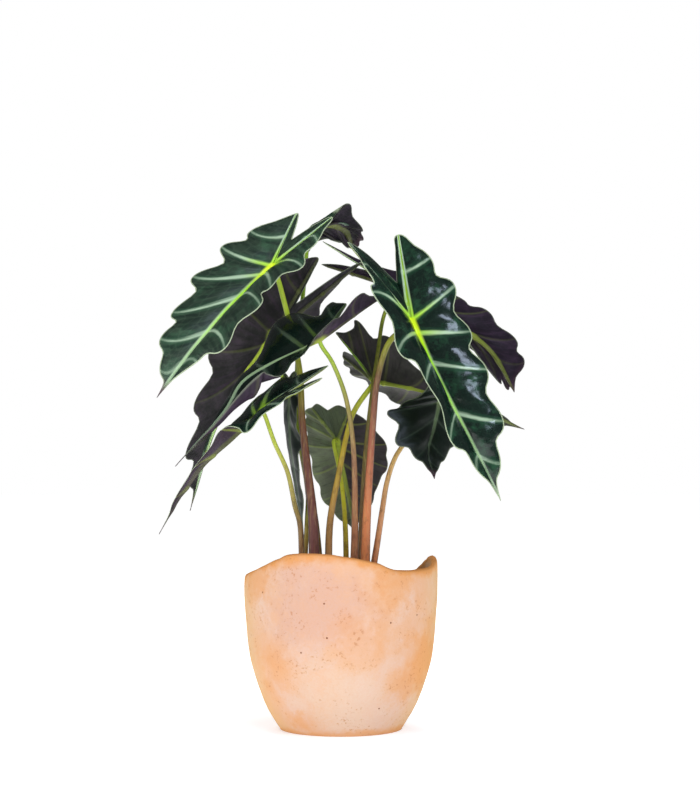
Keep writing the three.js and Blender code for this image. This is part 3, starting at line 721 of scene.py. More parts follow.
def upper_leaf_material(settings):
    """Living leaf, upper face: a waxy skin over near-black green flesh. The wax gives sharp,
    broken highlights; the veins are pale green, brightest by the stalk, and the edge is cream. On
    the matt leaves a painted greyish sheen lies over the flesh."""
    material, tree = new_material("Waxy leaf, upper face")
    here = blade_numbers(tree)
    patches, grain, swell = (
        add(tree, "ShaderNodeTexNoise", {
            "Vector": here.place, "Scale": per_mm(size), "Detail": detail, "Roughness": rough,
        }) for size, detail, rough in ((13, 5, 0.65), (3.2, 4, 0.6), (10, 1, 0.5)))
    net = mask(tree, (here.net, 0, 0.12, 1, 0))
    ragged = mask(tree, (here.streaks, 0.3, 0.7, -0.45, 0.45))
    ragged = add(tree, "ShaderNodeMath", (here.vein, ragged), operation="ADD")
    margin = settings.margin_width / MM
    side_vein = paint(tree, settings.vein, (settings.bright_vein, (here.reach, 0.03, 0.2, 0.9, 0)))
    midrib = paint(
        tree, settings.vein,
        (settings.bright_vein, (here.reach, 0.15, 0.85, 1, 0.1)),
        (settings.vein, (here.rib, 0.4, 0.95, 0, 0.6)),
        (settings.junction, (here.reach, 0.02, 0.22, 1, 0)),
        (settings.vein, (here.bright, 0.1, 0.6, 0.75, 0)))
    # From the flesh up: darker flesh on the leaves whose veins are dim, fresh green in patches and
    # beside the veins, the net, a painted greyish sheen on matt leaves, side veins, lobe ribs as two
    # pale lines with green between them, midrib, edge and tip.
    colour = paint(
        tree, settings.flesh,
        # darker flesh, by up to half, on the leaves whose veins are dim
        (BLACK, 0.5, (here.bright, 0.1, 0.8, 1, 0)),
        (settings.fresh_flesh, (patches, 0.46, 0.72, 0, 1), here.bright,
         (here.streaks, 0.35, 0.6, 0.5, 1)),
        (settings.fresh_flesh, (here.vein, 0.8, 4.5, 0.65, 0), here.bright),
        (settings.vein, net, (here.gloss, 0.2, 1, 0.03, 0.007), here.bright),
        # painted sheen: greyish light laid in streaks over the flesh of matt leaves
        (settings.painted_light, (here.gloss, 0.2, 0.5, 0.13, 0), here.bright,
         (here.streaks, 0.35, 0.62, 0.25, 1)),
        (side_vein, (ragged, 0.1, 1.9, 1, 0), (here.reach, 0.2, 1, 0.95, 0.6), here.bright,
         (here.edge, 1, 14, 0.4, 1)),
        (settings.bright_vein, (here.lobe, 0.6, 1.3, 0.5, 0), here.bright),
        (side_vein, (here.lobe, 0.25, 0.8, 0, 1), (here.lobe, 0.9, 1.6, 1, 0), here.bright),
        (midrib, (here.rib, 0.6, 1.3, 1, 0), (here.reach, 0.5, 1, 1, 0.7), here.midrib),
        (settings.margin, (here.edge, 0.7 * margin, 1.3 * margin, 1, 0),
         (here.bright, 0, 0.7, 0.2, 0.7)),
        (settings.tail, (here.reach, 0.87, 0.96, 0, 0.95), (here.gloss, 0.6, 1, 1, 0.2)))
    smooth = mask(tree, (here.gloss, 0, 1, 0.42, 0.14))
    worn = mask(tree, (grain, 0.3, 0.7, -0.02, 0.06))
    shader = add(tree, "ShaderNodeBsdfPrincipled", {
        "Base Color": colour, "Specular IOR Level": 0.5,
        "Roughness": add(tree, "ShaderNodeMath", (smooth, worn), operation="ADD"),
        "Normal": relief(tree, (swell, 0.55, 1.6), (net, 0.04, -0.3), (grain, 0.12, 0.3)),
    })
    add(tree, "ShaderNodeOutputMaterial", (shader,))
    return material


def lower_leaf_material(settings):
    """Living leaf, underside: matt purple-black skin with dusky pink patches and raised yellow-green
    ribs. Where the table lets daylight through from behind, a painted grey-green stands in for the
    light that shines through."""
    material, tree = new_material("Matt leaf, underside")
    here = blade_numbers(tree)
    patches, grain = (
        add(tree, "ShaderNodeTexNoise", {
            "Vector": here.place, "Scale": per_mm(size), "Detail": 4, "Roughness": 0.6,
        }) for size in (18, 2.6))
    purple = add(tree, "ShaderNodeMath", (
        mask(tree, (patches, 0.42, 0.7, 0, 0.5)), mask(tree, here.blush, 0.8),
    ), operation="ADD")
    skin = paint(
        tree, settings.underside,
        (settings.dusky_underside, purple),
        # painted light: grey-green where daylight shines through the blade from behind
        (settings.lit_underside, here.light, (patches, 0.35, 0.6, 0.6, 1)),
        (settings.dusky_underside, (here.net, 0, 0.12, 0.1, 0)),
        (settings.dusky_underside, (here.streaks, 0.5, 0.75, 0, 0.35)),
        (settings.underside, (here.streaks, 0.25, 0.5, 0.45, 0)),
        (settings.underside_rib, (here.reach, 0.01, 0.06, 0.6, 0)))
    ribbed = paint(tree, skin, (settings.underside_rib, (here.reach, 0.1, 0.9, 1, 0.25)))
    colour = paint(
        tree, skin,
        (ribbed, (here.vein, 0.3, 1.6, 0.45, 0), here.bright),
        (ribbed, (here.lobe, 0.7, 1.2, 0.6, 0), here.bright),
        (ribbed, (here.rib, 0.6, 1.3, 1, 0), here.midrib),
        (settings.margin, (here.edge, 0.2, 0.8, 0.18, 0)),
        (settings.tail, (here.reach, 0.9, 1, 0, 0.8)))
    shader = add(tree, "ShaderNodeBsdfPrincipled", {
        "Base Color": colour, "Roughness": mask(tree, (grain, 0.3, 0.7, 0.42, 0.56)),
        "Specular IOR Level": 0.2, "Normal": relief(tree, (grain, 0.3, 0.4)),
    })
    add(tree, "ShaderNodeOutputMaterial", (shader,))
    return material


# ------------------------------------------------------------------ leaf stalks

def stalk_tree():
    """Sweeps a round section along a line of points that carry their own radius."""
    tree, given = geometry_tree("Swept stalk", {"Sides": "Int"})
    curve = add(tree, "GeometryNodeMeshToCurve", {"Mesh": given["Geometry"]})
    width = add(tree, "GeometryNodeInputNamedAttribute", {"Name": "thick"}, data_type="FLOAT")
    section = add(tree, "GeometryNodeCurvePrimitiveCircle", {
        "Resolution": given["Sides"], "Radius": 1,
    })
    swept = add(tree, "GeometryNodeCurveToMesh", {
        "Curve": curve, "Profile Curve": section, "Scale": width, "Fill Caps": True,
    })
    close_tree(tree, swept, given["Material"])
    return tree


STALK_POINTS = 90
PATH_POINTS = 400


def stalk_line(leaf, settings):
    """Points of a stalk's middle line from its foot in the mix to the blade, with their radii."""
    points, faces, rises = blade_sheet(leaf)[:3]
    points = points + point_normals(points, faces) * rises[:, None]
    junction = np.array(leaf["rib"][0], float)
    nearest = np.linalg.norm(points - junction, axis=1).argmin()
    under = -point_normals(points, faces)[nearest]
    knots = [(*leaf["foot"], SOIL_TOP + STALK_UPRIGHT), *leaf["route"],
             junction + under * STALK_HOOK, junction + under * settings.thickness / MM / 2]
    path = smooth_line(knots, np.linspace(0, len(knots) - 1, PATH_POINTS))
    lengths = np.hstack([0, np.linalg.norm(np.diff(path, axis=0), axis=1).cumsum()])
    share = np.linspace(0, 1, STALK_POINTS)
    line = np.column_stack([np.interp(share, lengths / lengths[-1], path[:, n]) for n in range(3)])
    foot, top = leaf["radii"]
    radii = top + (foot - top) * (1 - share) ** STALK_FLARE
    sunk = [[*leaf["foot"], SOIL_TOP - STALK_DEPTH], [*leaf["foot"], SOIL_TOP]]
    return np.vstack([sunk, line]), np.hstack([foot, foot, radii]), np.hstack([0, 0, share])


def stalk_piece(name, leaf, settings, material, tree):
    """A stalk with its colour running from the foot to the blade."""
    line, radii, share = stalk_line(leaf, settings)
    piece = new_object(name, line, edges=[(n, n + 1) for n in range(len(line) - 1)])
    store(piece.data, "thick", radii * MM)
    store(piece.data, "along", share)
    tint = piece.data.attributes.new("tint", "FLOAT_COLOR", "POINT")
    stops = np.array([(*linear(code), 1) for code in leaf["colours"]])
    places = np.linspace(0, 1, len(stops))
    colours = np.column_stack([np.interp(share, places, stops[:, n]) for n in range(4)])
    tint.data.foreach_set("color", colours.astype(np.float32).reshape(-1))
    return grown(piece, tree, Material=material, Sides=settings.sides)


def stalk_material(settings):
    """Fleshy leaf stalk: smooth, slightly waxy skin, yellow-green above and rust-brown below, with
    fine lengthwise streaks and darker flecks that break the colour. The sides that turn away from
    the view are darkened brown with painted shade."""
    material, tree = new_material("Fleshy stalk skin")
    tint = add(tree, "ShaderNodeAttribute", attribute_name="tint")
    along = add(tree, "ShaderNodeAttribute", attribute_name="along").outputs["Fac"]
    place = add(tree, "ShaderNodeTexCoord").outputs["Object"]
    facing = add(tree, "ShaderNodeLayerWeight", {"Blend": 0.5}).outputs["Facing"]
    streaks, flecks = (
        add(tree, "ShaderNodeTexNoise", {
            "Vector": add(tree, "ShaderNodeMapping", {"Vector": place, "Scale": (1, 1, drawn)}),
            "Scale": per_mm(size), "Detail": detail, "Roughness": rough,
        }) for drawn, size, detail, rough in ((0.12, 1.6, 3, 0.6), (0.4, 3.4, 4, 0.65)))
    colour = paint(
        tree, tint,
        (paint(tree, tint, (settings.fleck, 0.55)), (flecks, 0.5, 0.64, 0, 1),
         (along, 0.35, 0.95, 0.75, 0.1)),
        (paint(tree, tint, (settings.streak, 0.5)), (streaks, 0.45, 0.7, 0, 0.35)))
    # painted shade: the sides that turn away from the view are darkened brown
    painted_edge_shade = add(tree, "ShaderNodeMix", {MIX_FACTOR: 1, MIX_A: colour, MIX_B: settings.side},
                 data_type="RGBA", blend_type="MULTIPLY").outputs[MIX_RESULT]
    shader = add(tree, "ShaderNodeBsdfPrincipled", {
        "Base Color": paint(tree, colour, (painted_edge_shade, (facing, 0.3, 0.9, 0, 0.9))),
        "Roughness": 0.42, "Specular IOR Level": 0.45,
        "Subsurface Weight": 0.12, "Subsurface Radius": (0.004, 0.003, 0.001),
        "Normal": relief(tree, (streaks, 0.25, 0.3)),
    })
    add(tree, "ShaderNodeOutputMaterial", (shader,))
    return material


# ------------------------------------------------------------------ clay cup

SECTION_RISE = 12  # how far the drawn section's rim stands above the shoulder
STRETCHED_SHARE = 0.35  # the stretch is taken up over this share of that rise
RIM_LOW, RIM_HIGH = 110, 131
RIPPLE_SHARE = 0.35  # how strong the small ripples are beside the dents
UNTOUCHED, TOUCHED = 1, 8  # heights between which the marks of the hand set in
SEAM = 0.02  # points closer than this are sewn together


def cup_tree():
    """Turns a section line round the axis, stretches the wall up to the wavy rim, and leaves the
    marks of the hand in it."""
    tree, given = geometry_tree("Thrown cup", {
        "Sides": "Int", "Rings": "Int", "Shoulder": "Float", "Lowest rim": "Float",
        "Rim range": "Float", "Unevenness": "Float",
    })
    section = add(tree, "GeometryNodeMeshToCurve", {"Mesh": given["Geometry"]})
    grid = add(tree, "GeometryNodeMeshGrid", (1, 1, given["Sides"], given["Rings"]))
    spot = add(tree, "ShaderNodeSeparateXYZ", (add(tree, "GeometryNodeInputPosition"),)).outputs
    turn = add(tree, "ShaderNodeMath", (spot["X"], 0.5), operation="ADD")
    share = add(tree, "ShaderNodeMath", (spot["Y"], 0.5), operation="ADD", use_clamp=True)
    on_line = add(tree, "GeometryNodeSampleCurve", {"Curves": section, "Factor": share},
                  mode="FACTOR").outputs["Position"]
    radius, _, height = add(tree, "ShaderNodeSeparateXYZ", (on_line,)).outputs
    wave = add(tree, "ShaderNodeFloatCurve", {"Value": turn})
    shape_rim(wave.mapping)
    rim = add(tree, "ShaderNodeMath", (wave, given["Rim range"], given["Lowest rim"]),
              operation="MULTIPLY_ADD")
    # What the section has above the shoulder is stretched until its rim is at the real rim.
    over = add(tree, "ShaderNodeMath", (height, given["Shoulder"]), operation="SUBTRACT")
    over = add(tree, "ShaderNodeMath", (over, 0), operation="MAXIMUM")
    rise = add(tree, "ShaderNodeMath", (rim, given["Shoulder"]), operation="SUBTRACT")
    spare = add(tree, "ShaderNodeMath", (rise, SECTION_RISE * MM), operation="SUBTRACT")
    lift = add(tree, "ShaderNodeMapRange", (over, 0, SECTION_RISE * MM * STRETCHED_SHARE, 0, spare))
    height = add(tree, "ShaderNodeMath", (height, lift), operation="ADD")
    angle = add(tree, "ShaderNodeMath", (turn, 2 * math.pi), operation="MULTIPLY")
    across = [add(tree, "ShaderNodeMath", (radius, add(tree, "ShaderNodeMath", (angle,), operation=way)),
                  operation="MULTIPLY") for way in ("COSINE", "SINE")]
    marked = add(tree, "GeometryNodeStoreNamedAttribute", {
        "Geometry": grid, "Name": "below_rim",
        "Value": add(tree, "ShaderNodeMath", (rim, height), operation="SUBTRACT"),
    }, data_type="FLOAT", domain="POINT")
    turned = add(tree, "GeometryNodeSetPosition", {
        "Geometry": marked, "Position": add(tree, "ShaderNodeCombineXYZ", (*across, height)),
    })
    sewn = add(tree, "GeometryNodeMergeByDistance", {"Geometry": turned, "Distance": SEAM * MM})
    spot = add(tree, "GeometryNodeInputPosition")
    dents, ripple = (
        add(tree, "ShaderNodeTexNoise", {"Vector": spot, "Scale": per_mm(size), "Detail": detail})
        for size, detail in ((30, 2), (7, 3)))
    marks = add(tree, "ShaderNodeMath", (ripple, RIPPLE_SHARE, dents), operation="MULTIPLY_ADD")
    inward = add(tree, "ShaderNodeMapRange", (marks, 0.35, 0.95, 0, -1))
    off_floor = add(tree, "ShaderNodeMapRange", (
        add(tree, "ShaderNodeSeparateXYZ", (spot,)).outputs["Z"], UNTOUCHED * MM, TOUCHED * MM))
    push = add(tree, "ShaderNodeVectorMath", {
        0: add(tree, "GeometryNodeInputNormal"),
        "Scale": mask(tree, inward, given["Unevenness"], off_floor),
    }, operation="SCALE")
    pinched = add(tree, "GeometryNodeSetPosition", {"Geometry": sewn, "Offset": push})
    close_tree(tree, pinched, given["Material"])
    return tree


def shape_rim(mapping):
    """Draw the rim's height round the cup, from RIM_LOW to RIM_HIGH, on a float curve."""
    curve = mapping.curves[0]
    spots = [(angle / 360, (height - RIM_LOW) / (RIM_HIGH - RIM_LOW)) for angle, height in POT_RIM]
    curve.points[0].location = spots[0]
    curve.points[1].location = (1, spots[0][1])
    for x, y in spots[1:]:
        curve.points.new(x, y)
    for point in curve.points:
        point.handle_type = "AUTO"
    mapping.update()


def outside_radius(height):
    """The cup's radius on the outside at a height."""
    radii, heights = zip(*POT_OUTSIDE)
    return float(np.interp(height, heights, radii))


# The lip's rounding, as (inwards from the wall's outside, down from the rim).
LIP = ((0, 6), (0.15, 3.4), (0.7, 1.5), (1.6, 0.4), (2.6, 0), (3.7, 0.35), (4.6, 1.3), (5.2, 3),
       (POT_WALL, 5.4))
SECTION_POINTS = 420
# The section's base, and the floor inside as heights over POT_FLOOR.
BASE = ((0, 0), (40, 0), (43.2, 0.25))
INSIDE_FLOOR = ((40, 0.6), (36, 0), (0, 0))
INSIDE_LEVELS = (SHOULDER, 84, 72, 54, 41, 28, 17, 11)


def cup_section():
    """Half of the cup's section from the middle of its base, up the outside, over the lip and
    down the inside to the middle of its floor."""
    wide = outside_radius(SHOULDER)
    lip = [(wide - inset, SHOULDER + SECTION_RISE - drop) for inset, drop in LIP]
    inside = [(outside_radius(z) - POT_WALL, z) for z in INSIDE_LEVELS]
    floor = [(x, POT_FLOOR + z) for x, z in INSIDE_FLOOR]
    knots = [(x, 0, z) for x, z in (*BASE, *POT_OUTSIDE[1:], *lip, *inside, *floor)]
    return np.maximum(smooth_line(knots, np.linspace(0, len(knots) - 1, SECTION_POINTS)), 0)


# Orange flashes on the clay: middle of each, its size, and how strong it is.
FLASHES = (((62, -30, 50), 30, 0.6), ((50, -44, 38), 22, 0.5), ((-50, -46, 44), 24, 0.4),
           ((38, -58, 112), 26, 0.55), ((-58, -36, 110), 20, 0.6), ((-20, 60, 60), 34, 0.6),
           ((14, -66, 66), 26, 0.35), ((-30, -44, 8), 14, 0.6))
# Where the slip is dusky and where it is palest, given in the same way.
DUSKY_SLIP = (((-14, -68, 92), 44, 0.75), ((30, 60, 96), 40, 0.6))
PALE_SLIP = (((0, -62, 26), 42, 0.8), ((-10, 56, 26), 40, 0.7))


def washes(tree, place, ragged, spots):
    """The strength of soft-edged spots on the clay, where ragged breaks their outline."""
    total = 0
    for middle, size, strength in spots:
        away = add(tree, "ShaderNodeVectorMath", (place, [value * MM for value in middle]),
                   operation="DISTANCE").outputs["Value"]
        away = add(tree, "ShaderNodeMath", (ragged, -size * MM, away), operation="MULTIPLY_ADD")
        spot = mask(tree, (away, 0.3 * size * MM, 1.25 * size * MM, strength, 0))
        total = add(tree, "ShaderNodeMath", (total, spot), operation="MAXIMUM")
    return total


def clay_material(settings):
    """Low-fired terracotta, smoothed by hand and left bare: chalky and matt, peach where it is
    thin with slip, orange where the flame licked it, with pinholes and flecks. The sides that turn
    away from the view are tinted yellow, painted light."""
    material, tree = new_material("Bare low-fired terracotta")
    place = add(tree, "ShaderNodeTexCoord").outputs["Object"]
    below = add(tree, "ShaderNodeAttribute", attribute_name="below_rim").outputs["Fac"]
    facing = add(tree, "ShaderNodeLayerWeight", {"Blend": 0.5}).outputs["Facing"]
    height = add(tree, "ShaderNodeSeparateXYZ", (place,)).outputs["Z"]
    clouds, stains, flecks, grit = (
        add(tree, "ShaderNodeTexNoise", {
            "Vector": place, "Scale": per_mm(size), "Detail": detail, "Roughness": rough,
            "Distortion": bent,
        }) for size, detail, rough, bent in (
            (42, 4, 0.6, 0.4), (16, 7, 0.68, 0), (2.2, 3, 0.6, 0), (1.4, 3, 0.7, 0)))
    ragged = mask(tree, (stains, 0.3, 0.7, -0.35, 0.35))
    # The clay is bare and orange in the flashes, along the rim and round the foot.
    bare = washes(tree, place, ragged, FLASHES)
    for level, frayed, broad, strength in ((below, 10, 10, 0.8), (height, 5, 6, 0.6)):
        away = add(tree, "ShaderNodeMath", (ragged, -frayed * MM, level), operation="MULTIPLY_ADD")
        band = mask(tree, (away, 1 * MM, broad * MM, strength, 0))
        bare = add(tree, "ShaderNodeMath", (bare, band), operation="MAXIMUM")
    cells = add(tree, "ShaderNodeTexVoronoi", {"Vector": place, "Scale": per_mm(9), "Randomness": 1})
    drawn = add(tree, "ShaderNodeSeparateColor", (cells.outputs["Color"],))
    holes = mask(tree, (cells, 0.05, 0.09, 1, 0), (drawn, 0.7, 0.72, 0, 1))
    colour = paint(
        tree, settings.clay,
        (settings.pale, (clouds, 0.38, 0.64, 0, 1)),
        (settings.dusky, washes(tree, place, ragged, DUSKY_SLIP)),
        (settings.cream, washes(tree, place, ragged, PALE_SLIP)),
        # painted light: the sides that turn away from the view are tinted yellow
        (settings.yellow, (facing, 0.35, 0.9, 0, 0.6)),
        (settings.orange, bare),
        (settings.burnt, (below, 0.4 * MM, 2.2 * MM, 0.45, 0)),
        (settings.burnt, (flecks, 0.56, 0.66, 0, 0.6), (stains, 0.47, 0.62, 0, 1)),
        (settings.pinhole, holes),
        (settings.orange, (grit, 0.35, 0.7, 0, 0.14)))
    shader = add(tree, "ShaderNodeBsdfPrincipled", {
        "Base Color": colour, "Roughness": 0.82, "Specular IOR Level": 0.3,
        "Normal": relief(tree, (stains, 0.3, 1.2), (grit, 0.25, 0.3), (holes, 0.8, -0.8)),
    })
    add(tree, "ShaderNodeOutputMaterial", (shader,))
    return material


# ------------------------------------------------------------------ potting mix

MIX_SIDES = 96
MIX_RINGS = 22  # on the top of the mix
LUMP_SHARE = 0.6  # makes the highest lumps as high as the setting says


def soil_piece(settings):
    """The body of the mix: it fills the cup, and its top is lumpy."""
    turn = np.linspace(0, 2 * math.pi, MIX_SIDES, endpoint=False)
    rings = [(0, POT_FLOOR + GAP)]
    rings += [(outside_radius(z) - POT_WALL - GAP, z + (GAP if z == POT_FLOOR else 0))
              for z in SOIL_LEVELS]
    brim = rings[-1][0]
    rings += [(brim * (1 - n / MIX_RINGS), SOIL_TOP) for n in range(1, MIX_RINGS + 1)]
    points = np.array([[(r * math.cos(a), r * math.sin(a), z) for a in turn] for r, z in rings])
    top = points[len(SOIL_LEVELS) + 1:]
    x, y = top[..., 0], top[..., 1]
    swell = np.sin(x * 0.19 + 1) * np.cos(y * 0.17) + 0.6 * np.sin(x * 0.43 - y * 0.31)
    top[..., 2] += settings.lumps / MM * swell * LUMP_SHARE
    index = np.arange(len(rings) * MIX_SIDES).reshape(len(rings), MIX_SIDES)
    right = np.roll(index, -1, axis=1)
    quads = np.stack([index[:-1], right[:-1], right[1:], index[1:]], -1).reshape(-1, 4)
    triangles = np.vstack([quads[:, [0, 1, 2]], quads[:, [0, 2, 3]]])
    points, triangles = merged(points.reshape(-1, 3), triangles)
    return new_object("potting_mix", points, triangles.tolist())


CRUMB_BITE = 1.6  # depth of the deepest bite out of a crumb
CRUMB_DROP = 1.5  # crumbs lie on what is at most this far below the mix's level
CRUMB_INSET = 4  # and at least this far from the wall
SMALLEST, LARGEST = (0.4, 0.4, 0.25), (1.3, 1, 0.8)  # as shares of the crumb size
FULL_TURN = 6.283  # radians


def crumb_tree():
    """Covers the top of the mix with crumbs of peat and bark, turned and sized at random."""
    tree, given = geometry_tree("Crumbled mix", {
        "Crumbs per square metre": "Float", "Crumb size": "Float", "Top height": "Float",
        "Brim": "Float",
    })
    place = add(tree, "GeometryNodeInputPosition")
    x, y, z = add(tree, "ShaderNodeSeparateXYZ", (place,)).outputs
    flat = add(tree, "ShaderNodeCombineXYZ", (x, y))
    out = add(tree, "ShaderNodeVectorMath", (flat,), operation="LENGTH").outputs["Value"]
    high = add(tree, "FunctionNodeCompare", (z, given["Top height"]), operation="GREATER_THAN")
    inside = add(tree, "FunctionNodeCompare", (out, given["Brim"]), operation="LESS_THAN")
    spread = add(tree, "GeometryNodeDistributePointsOnFaces", {
        "Mesh": given["Geometry"], "Density": given["Crumbs per square metre"], "Seed": 7,
        "Selection": add(tree, "FunctionNodeBooleanMath", (high, inside), operation="AND"),
    })
    ball = add(tree, "GeometryNodeMeshIcoSphere", {"Radius": given["Crumb size"], "Subdivisions": 2})
    bite = add(tree, "ShaderNodeTexNoise", {"Vector": place, "Scale": per_mm(2)})
    sunk = add(tree, "ShaderNodeVectorMath", {
        0: add(tree, "GeometryNodeInputNormal"), "Scale": mask(tree, bite, -CRUMB_BITE * MM),
    }, operation="SCALE")
    size, spin = (
        add(tree, "FunctionNodeRandomValue", {0: low, 1: high, "Seed": seed},
            data_type="FLOAT_VECTOR")
        for low, high, seed in ((SMALLEST, LARGEST, 11), ((0, 0, 0), (FULL_TURN,) * 3, 12)))
    placed = add(tree, "GeometryNodeInstanceOnPoints", {
        "Points": spread, "Rotation": spin, "Scale": size,
        "Instance": add(tree, "GeometryNodeSetPosition", {"Geometry": ball, "Offset": sunk}),
    })
    joined = add(tree, "GeometryNodeJoinGeometry", (given["Geometry"],))
    tree.links.new(placed.outputs[0], joined.inputs[0])
    close_tree(tree, joined, given["Material"])
    return tree


def soil_material(settings):
    """Peat-based potting mix with composted bark, tipped in and watered: dark, crumbly and matt,
    with reddish bark showing between black crumbs."""
    material, tree = new_material("Peat and bark potting mix")
    place = add(tree, "ShaderNodeTexCoord").outputs["Object"]
    crumbs = add(tree, "ShaderNodeTexVoronoi", {"Vector": place, "Scale": per_mm(4)})
    tone = add(tree, "ShaderNodeSeparateColor", (crumbs.outputs["Color"],))
    grain = add(tree, "ShaderNodeTexNoise", {
        "Vector": place, "Scale": per_mm(1.5), "Detail": 5, "Roughness": 0.7,
    })
    colour = paint(
        tree, settings.peat,
        (settings.bark, (tone, 0.2, 0.95, 0, 1)),
        (settings.fibre, (grain, 0.5, 0.75, 0, 0.5)))
    shader = add(tree, "ShaderNodeBsdfPrincipled", {
        "Base Color": colour, "Roughness": 0.95, "Specular IOR Level": 0.2,
        "Normal": relief(tree, (grain, 0.8, 1)),
    })
    add(tree, "ShaderNodeOutputMaterial", (shader,))
    return material


# ------------------------------------------------------------------ settings

def setting(name, description, default, **kind):
    """A value that a user can change. An sRGB hex code makes it a colour, and a whole number a
    count; kind adds its unit."""
    if isinstance(default, str):
        return bpy.props.FloatVectorProperty(
            name=name, description=description, subtype="COLOR", default=linear(default))
    if isinstance(default, int):
        return bpy.props.IntProperty(name=name, description=description, default=default, min=6)
    return bpy.props.FloatProperty(name=name, description=description, default=default, **kind)


class LeafSettings(bpy.types.PropertyGroup):
    """Sizes and colours of the leaf blades"""
    thickness: setting("Thickness", "Between the veins", BLADE_THICKNESS * MM, unit="LENGTH")
    vein_groove: setting("Vein groove", "Depth of the veins on the upper face", 0.18 * MM, unit="LENGTH")
    rib_height: setting("Rib height", "Height of the veins on the underside", 0.55 * MM, unit="LENGTH")
    margin_width: setting("Margin width", "Width of the pale edge", 0.7 * MM, unit="LENGTH")
    flesh: setting("Flesh", "Darkest green of the upper face", "#10201a")
    fresh_flesh: setting("Fresh flesh", "Green beside the veins", "#254a34")
    # painted sheen: the greyish light laid over the flesh of matt upper faces
    painted_light: setting("Bloom", "Greyish wax dust on a matt upper face", "#708c70")
    vein: setting("Vein", "Pale green of the veins", "#b2ccae")
    bright_vein: setting("Bright vein", "Yellow-green of the veins by the stalk", "#b9f02c")
    junction: setting("Junction", "Lime of the place where the stalk meets the blade", "#e8ff34")
    tail: setting("Tail", "Brown-purple of the thin tip", "#4a3440")
    margin: setting("Margin", "Cream of the edge", "#c3d3ae")
    underside: setting("Underside", "Purple-black of the underside", "#151419")
    dusky_underside: setting("Dusky underside", "Paler purple patches of the underside", "#46364a")
    # painted light: the colour that stands in for daylight shining through the blade
    lit_underside: setting("Lit underside", "Underside where daylight comes through", "#687458")
    underside_rib: setting("Underside rib", "Yellow-green of the ribs below", "#c0d64c")


class StalkSettings(bpy.types.PropertyGroup):
    """Sizes of the leaf stalks, and the colours that break each stalk's own"""
    thickness: setting("Blade", "Thickness of the blade above", BLADE_THICKNESS * MM, unit="LENGTH")
    sides: setting("Sides", "Sides of the round section", 20)
    fleck: setting("Fleck", "Brown of the flecks", "#4a2a20")
    streak: setting("Streak", "Straw colour of the fine streaks", "#d9c07a")
    # painted shade on the sides of the stalks that turn away from the view
    side: setting("Side", "Brown that deepens the sides that turn away", "#5c4438")


class CupSettings(bpy.types.PropertyGroup):
    """Sizes and colours of the clay cup"""
    sides: setting("Sides", "Faces round the cup", 300)
    rings: setting("Rings", "Faces along the section", 190)
    unevenness: setting("Unevenness", "Depth of the marks left by the hand", 0.7 * MM, unit="LENGTH")
    clay: setting("Clay", "Peach of the fired clay", "#dbae8e")
    dusky: setting("Dusky slip", "Greyish pink of the thicker slip", "#cfa796")
    cream: setting("Cream slip", "Palest slip, low on the cup", "#dcc0aa")
    # painted light: yellow tint on the sides of the cup that turn away from the view
    yellow: setting("Yellow bloom", "Yellowish bloom seen along the sides", "#dfb472")
    pale: setting("Pale clay", "Chalky patches", "#dcbeac")
    orange: setting("Orange clay", "Bare orange patches, rim and foot", "#dc9448")
    burnt: setting("Burnt clay", "Brown-orange line along the rim, and the flecks", "#b5713a")
    pinhole: setting("Pinhole", "Colour inside the pinholes", "#8a5030")


class SoilSettings(bpy.types.PropertyGroup):
    """Sizes and colours of the potting mix"""
    lumps: setting("Lumps", "Height of the lumps on top", 0.7 * MM, unit="LENGTH")
    crumb_size: setting("Crumb size", "Radius of the largest crumbs", 2.6 * MM, unit="LENGTH")
    crumbs: setting("Crumbs", "Crumbs per square metre", 90000.0)
    peat: setting("Peat", "Black-brown of the peat", "#2a1c12")
    bark: setting("Bark", "Red-brown of the bark", "#5a3822")
    fibre: setting("Fibre", "Pale fibres in the mix", "#7a5a3c")


class StageSettings(bpy.types.PropertyGroup):
    """The floor, the lights and the backdrop"""
    floor: setting("Floor", "Colour of the floor", "#fcfcfc")
    # painted shadow: the floor's colour darkens to this round the cup
    painted_floor_shadow: setting("Near floor", "Its colour in the cup's faint shadow", "#cbced4")
    floor_glow: setting("Floor glow", "Light of its own that keeps the floor white far off", 0.73)
    shaded_glow: setting("Shaded glow", "The same beside the cup, in its faint shadow", 0.55)
    surround: setting("Surround", "How strongly the white surround lights the plant", 0.12)
    ceiling: setting("Ceiling", "Strength of the broad light from above", 0.62)
    key: setting("Key light", "Power of the large soft light on the right", 6.0, unit="POWER")
    fill: setting("Fill light", "Power of the light on the left", 9.0, unit="POWER")
    window: setting("Window light", "Power of the small light that the wax mirrors", 3.2, unit="POWER")
    daylight: setting("Daylight", "Bluish white of that light", "#d7e5ff")
    back: setting("Back light", "Power of the light behind", 8.0, unit="POWER")


# ------------------------------------------------------------------ operators

class ALOCASIA_OT_blades(bpy.types.Operator):
    """Make the leaf blades with their veins, quilting and scalloped edges"""
    bl_idname = "alocasia.blades"
    bl_label = "Leaf blades"

    def execute(self, context):
        settings = context.scene.alocasia_leaf
        materials = (upper_leaf_material(settings), lower_leaf_material(settings))
        for name, leaf in LEAVES.items():
            piece = blade_piece("leaf_" + name, leaf, settings, materials)
            dress(piece, "blade_" + name, slot="leaf_blade")
        return {"FINISHED"}


class ALOCASIA_OT_stalks(bpy.types.Operator):
    """Make the leaf stalks, from their feet in the mix to the blades"""
    bl_idname = "alocasia.stalks"
    bl_label = "Leaf stalks"

    def execute(self, context):
        settings = context.scene.alocasia_stalk
        material = stalk_material(settings)
        tree = stalk_tree()
        for name, leaf in LEAVES.items():
            piece = stalk_piece("petiole_" + name, leaf, settings, material, tree)
            dress(piece, "stalk_" + name, slot="leaf_stalk")
        return {"FINISHED"}


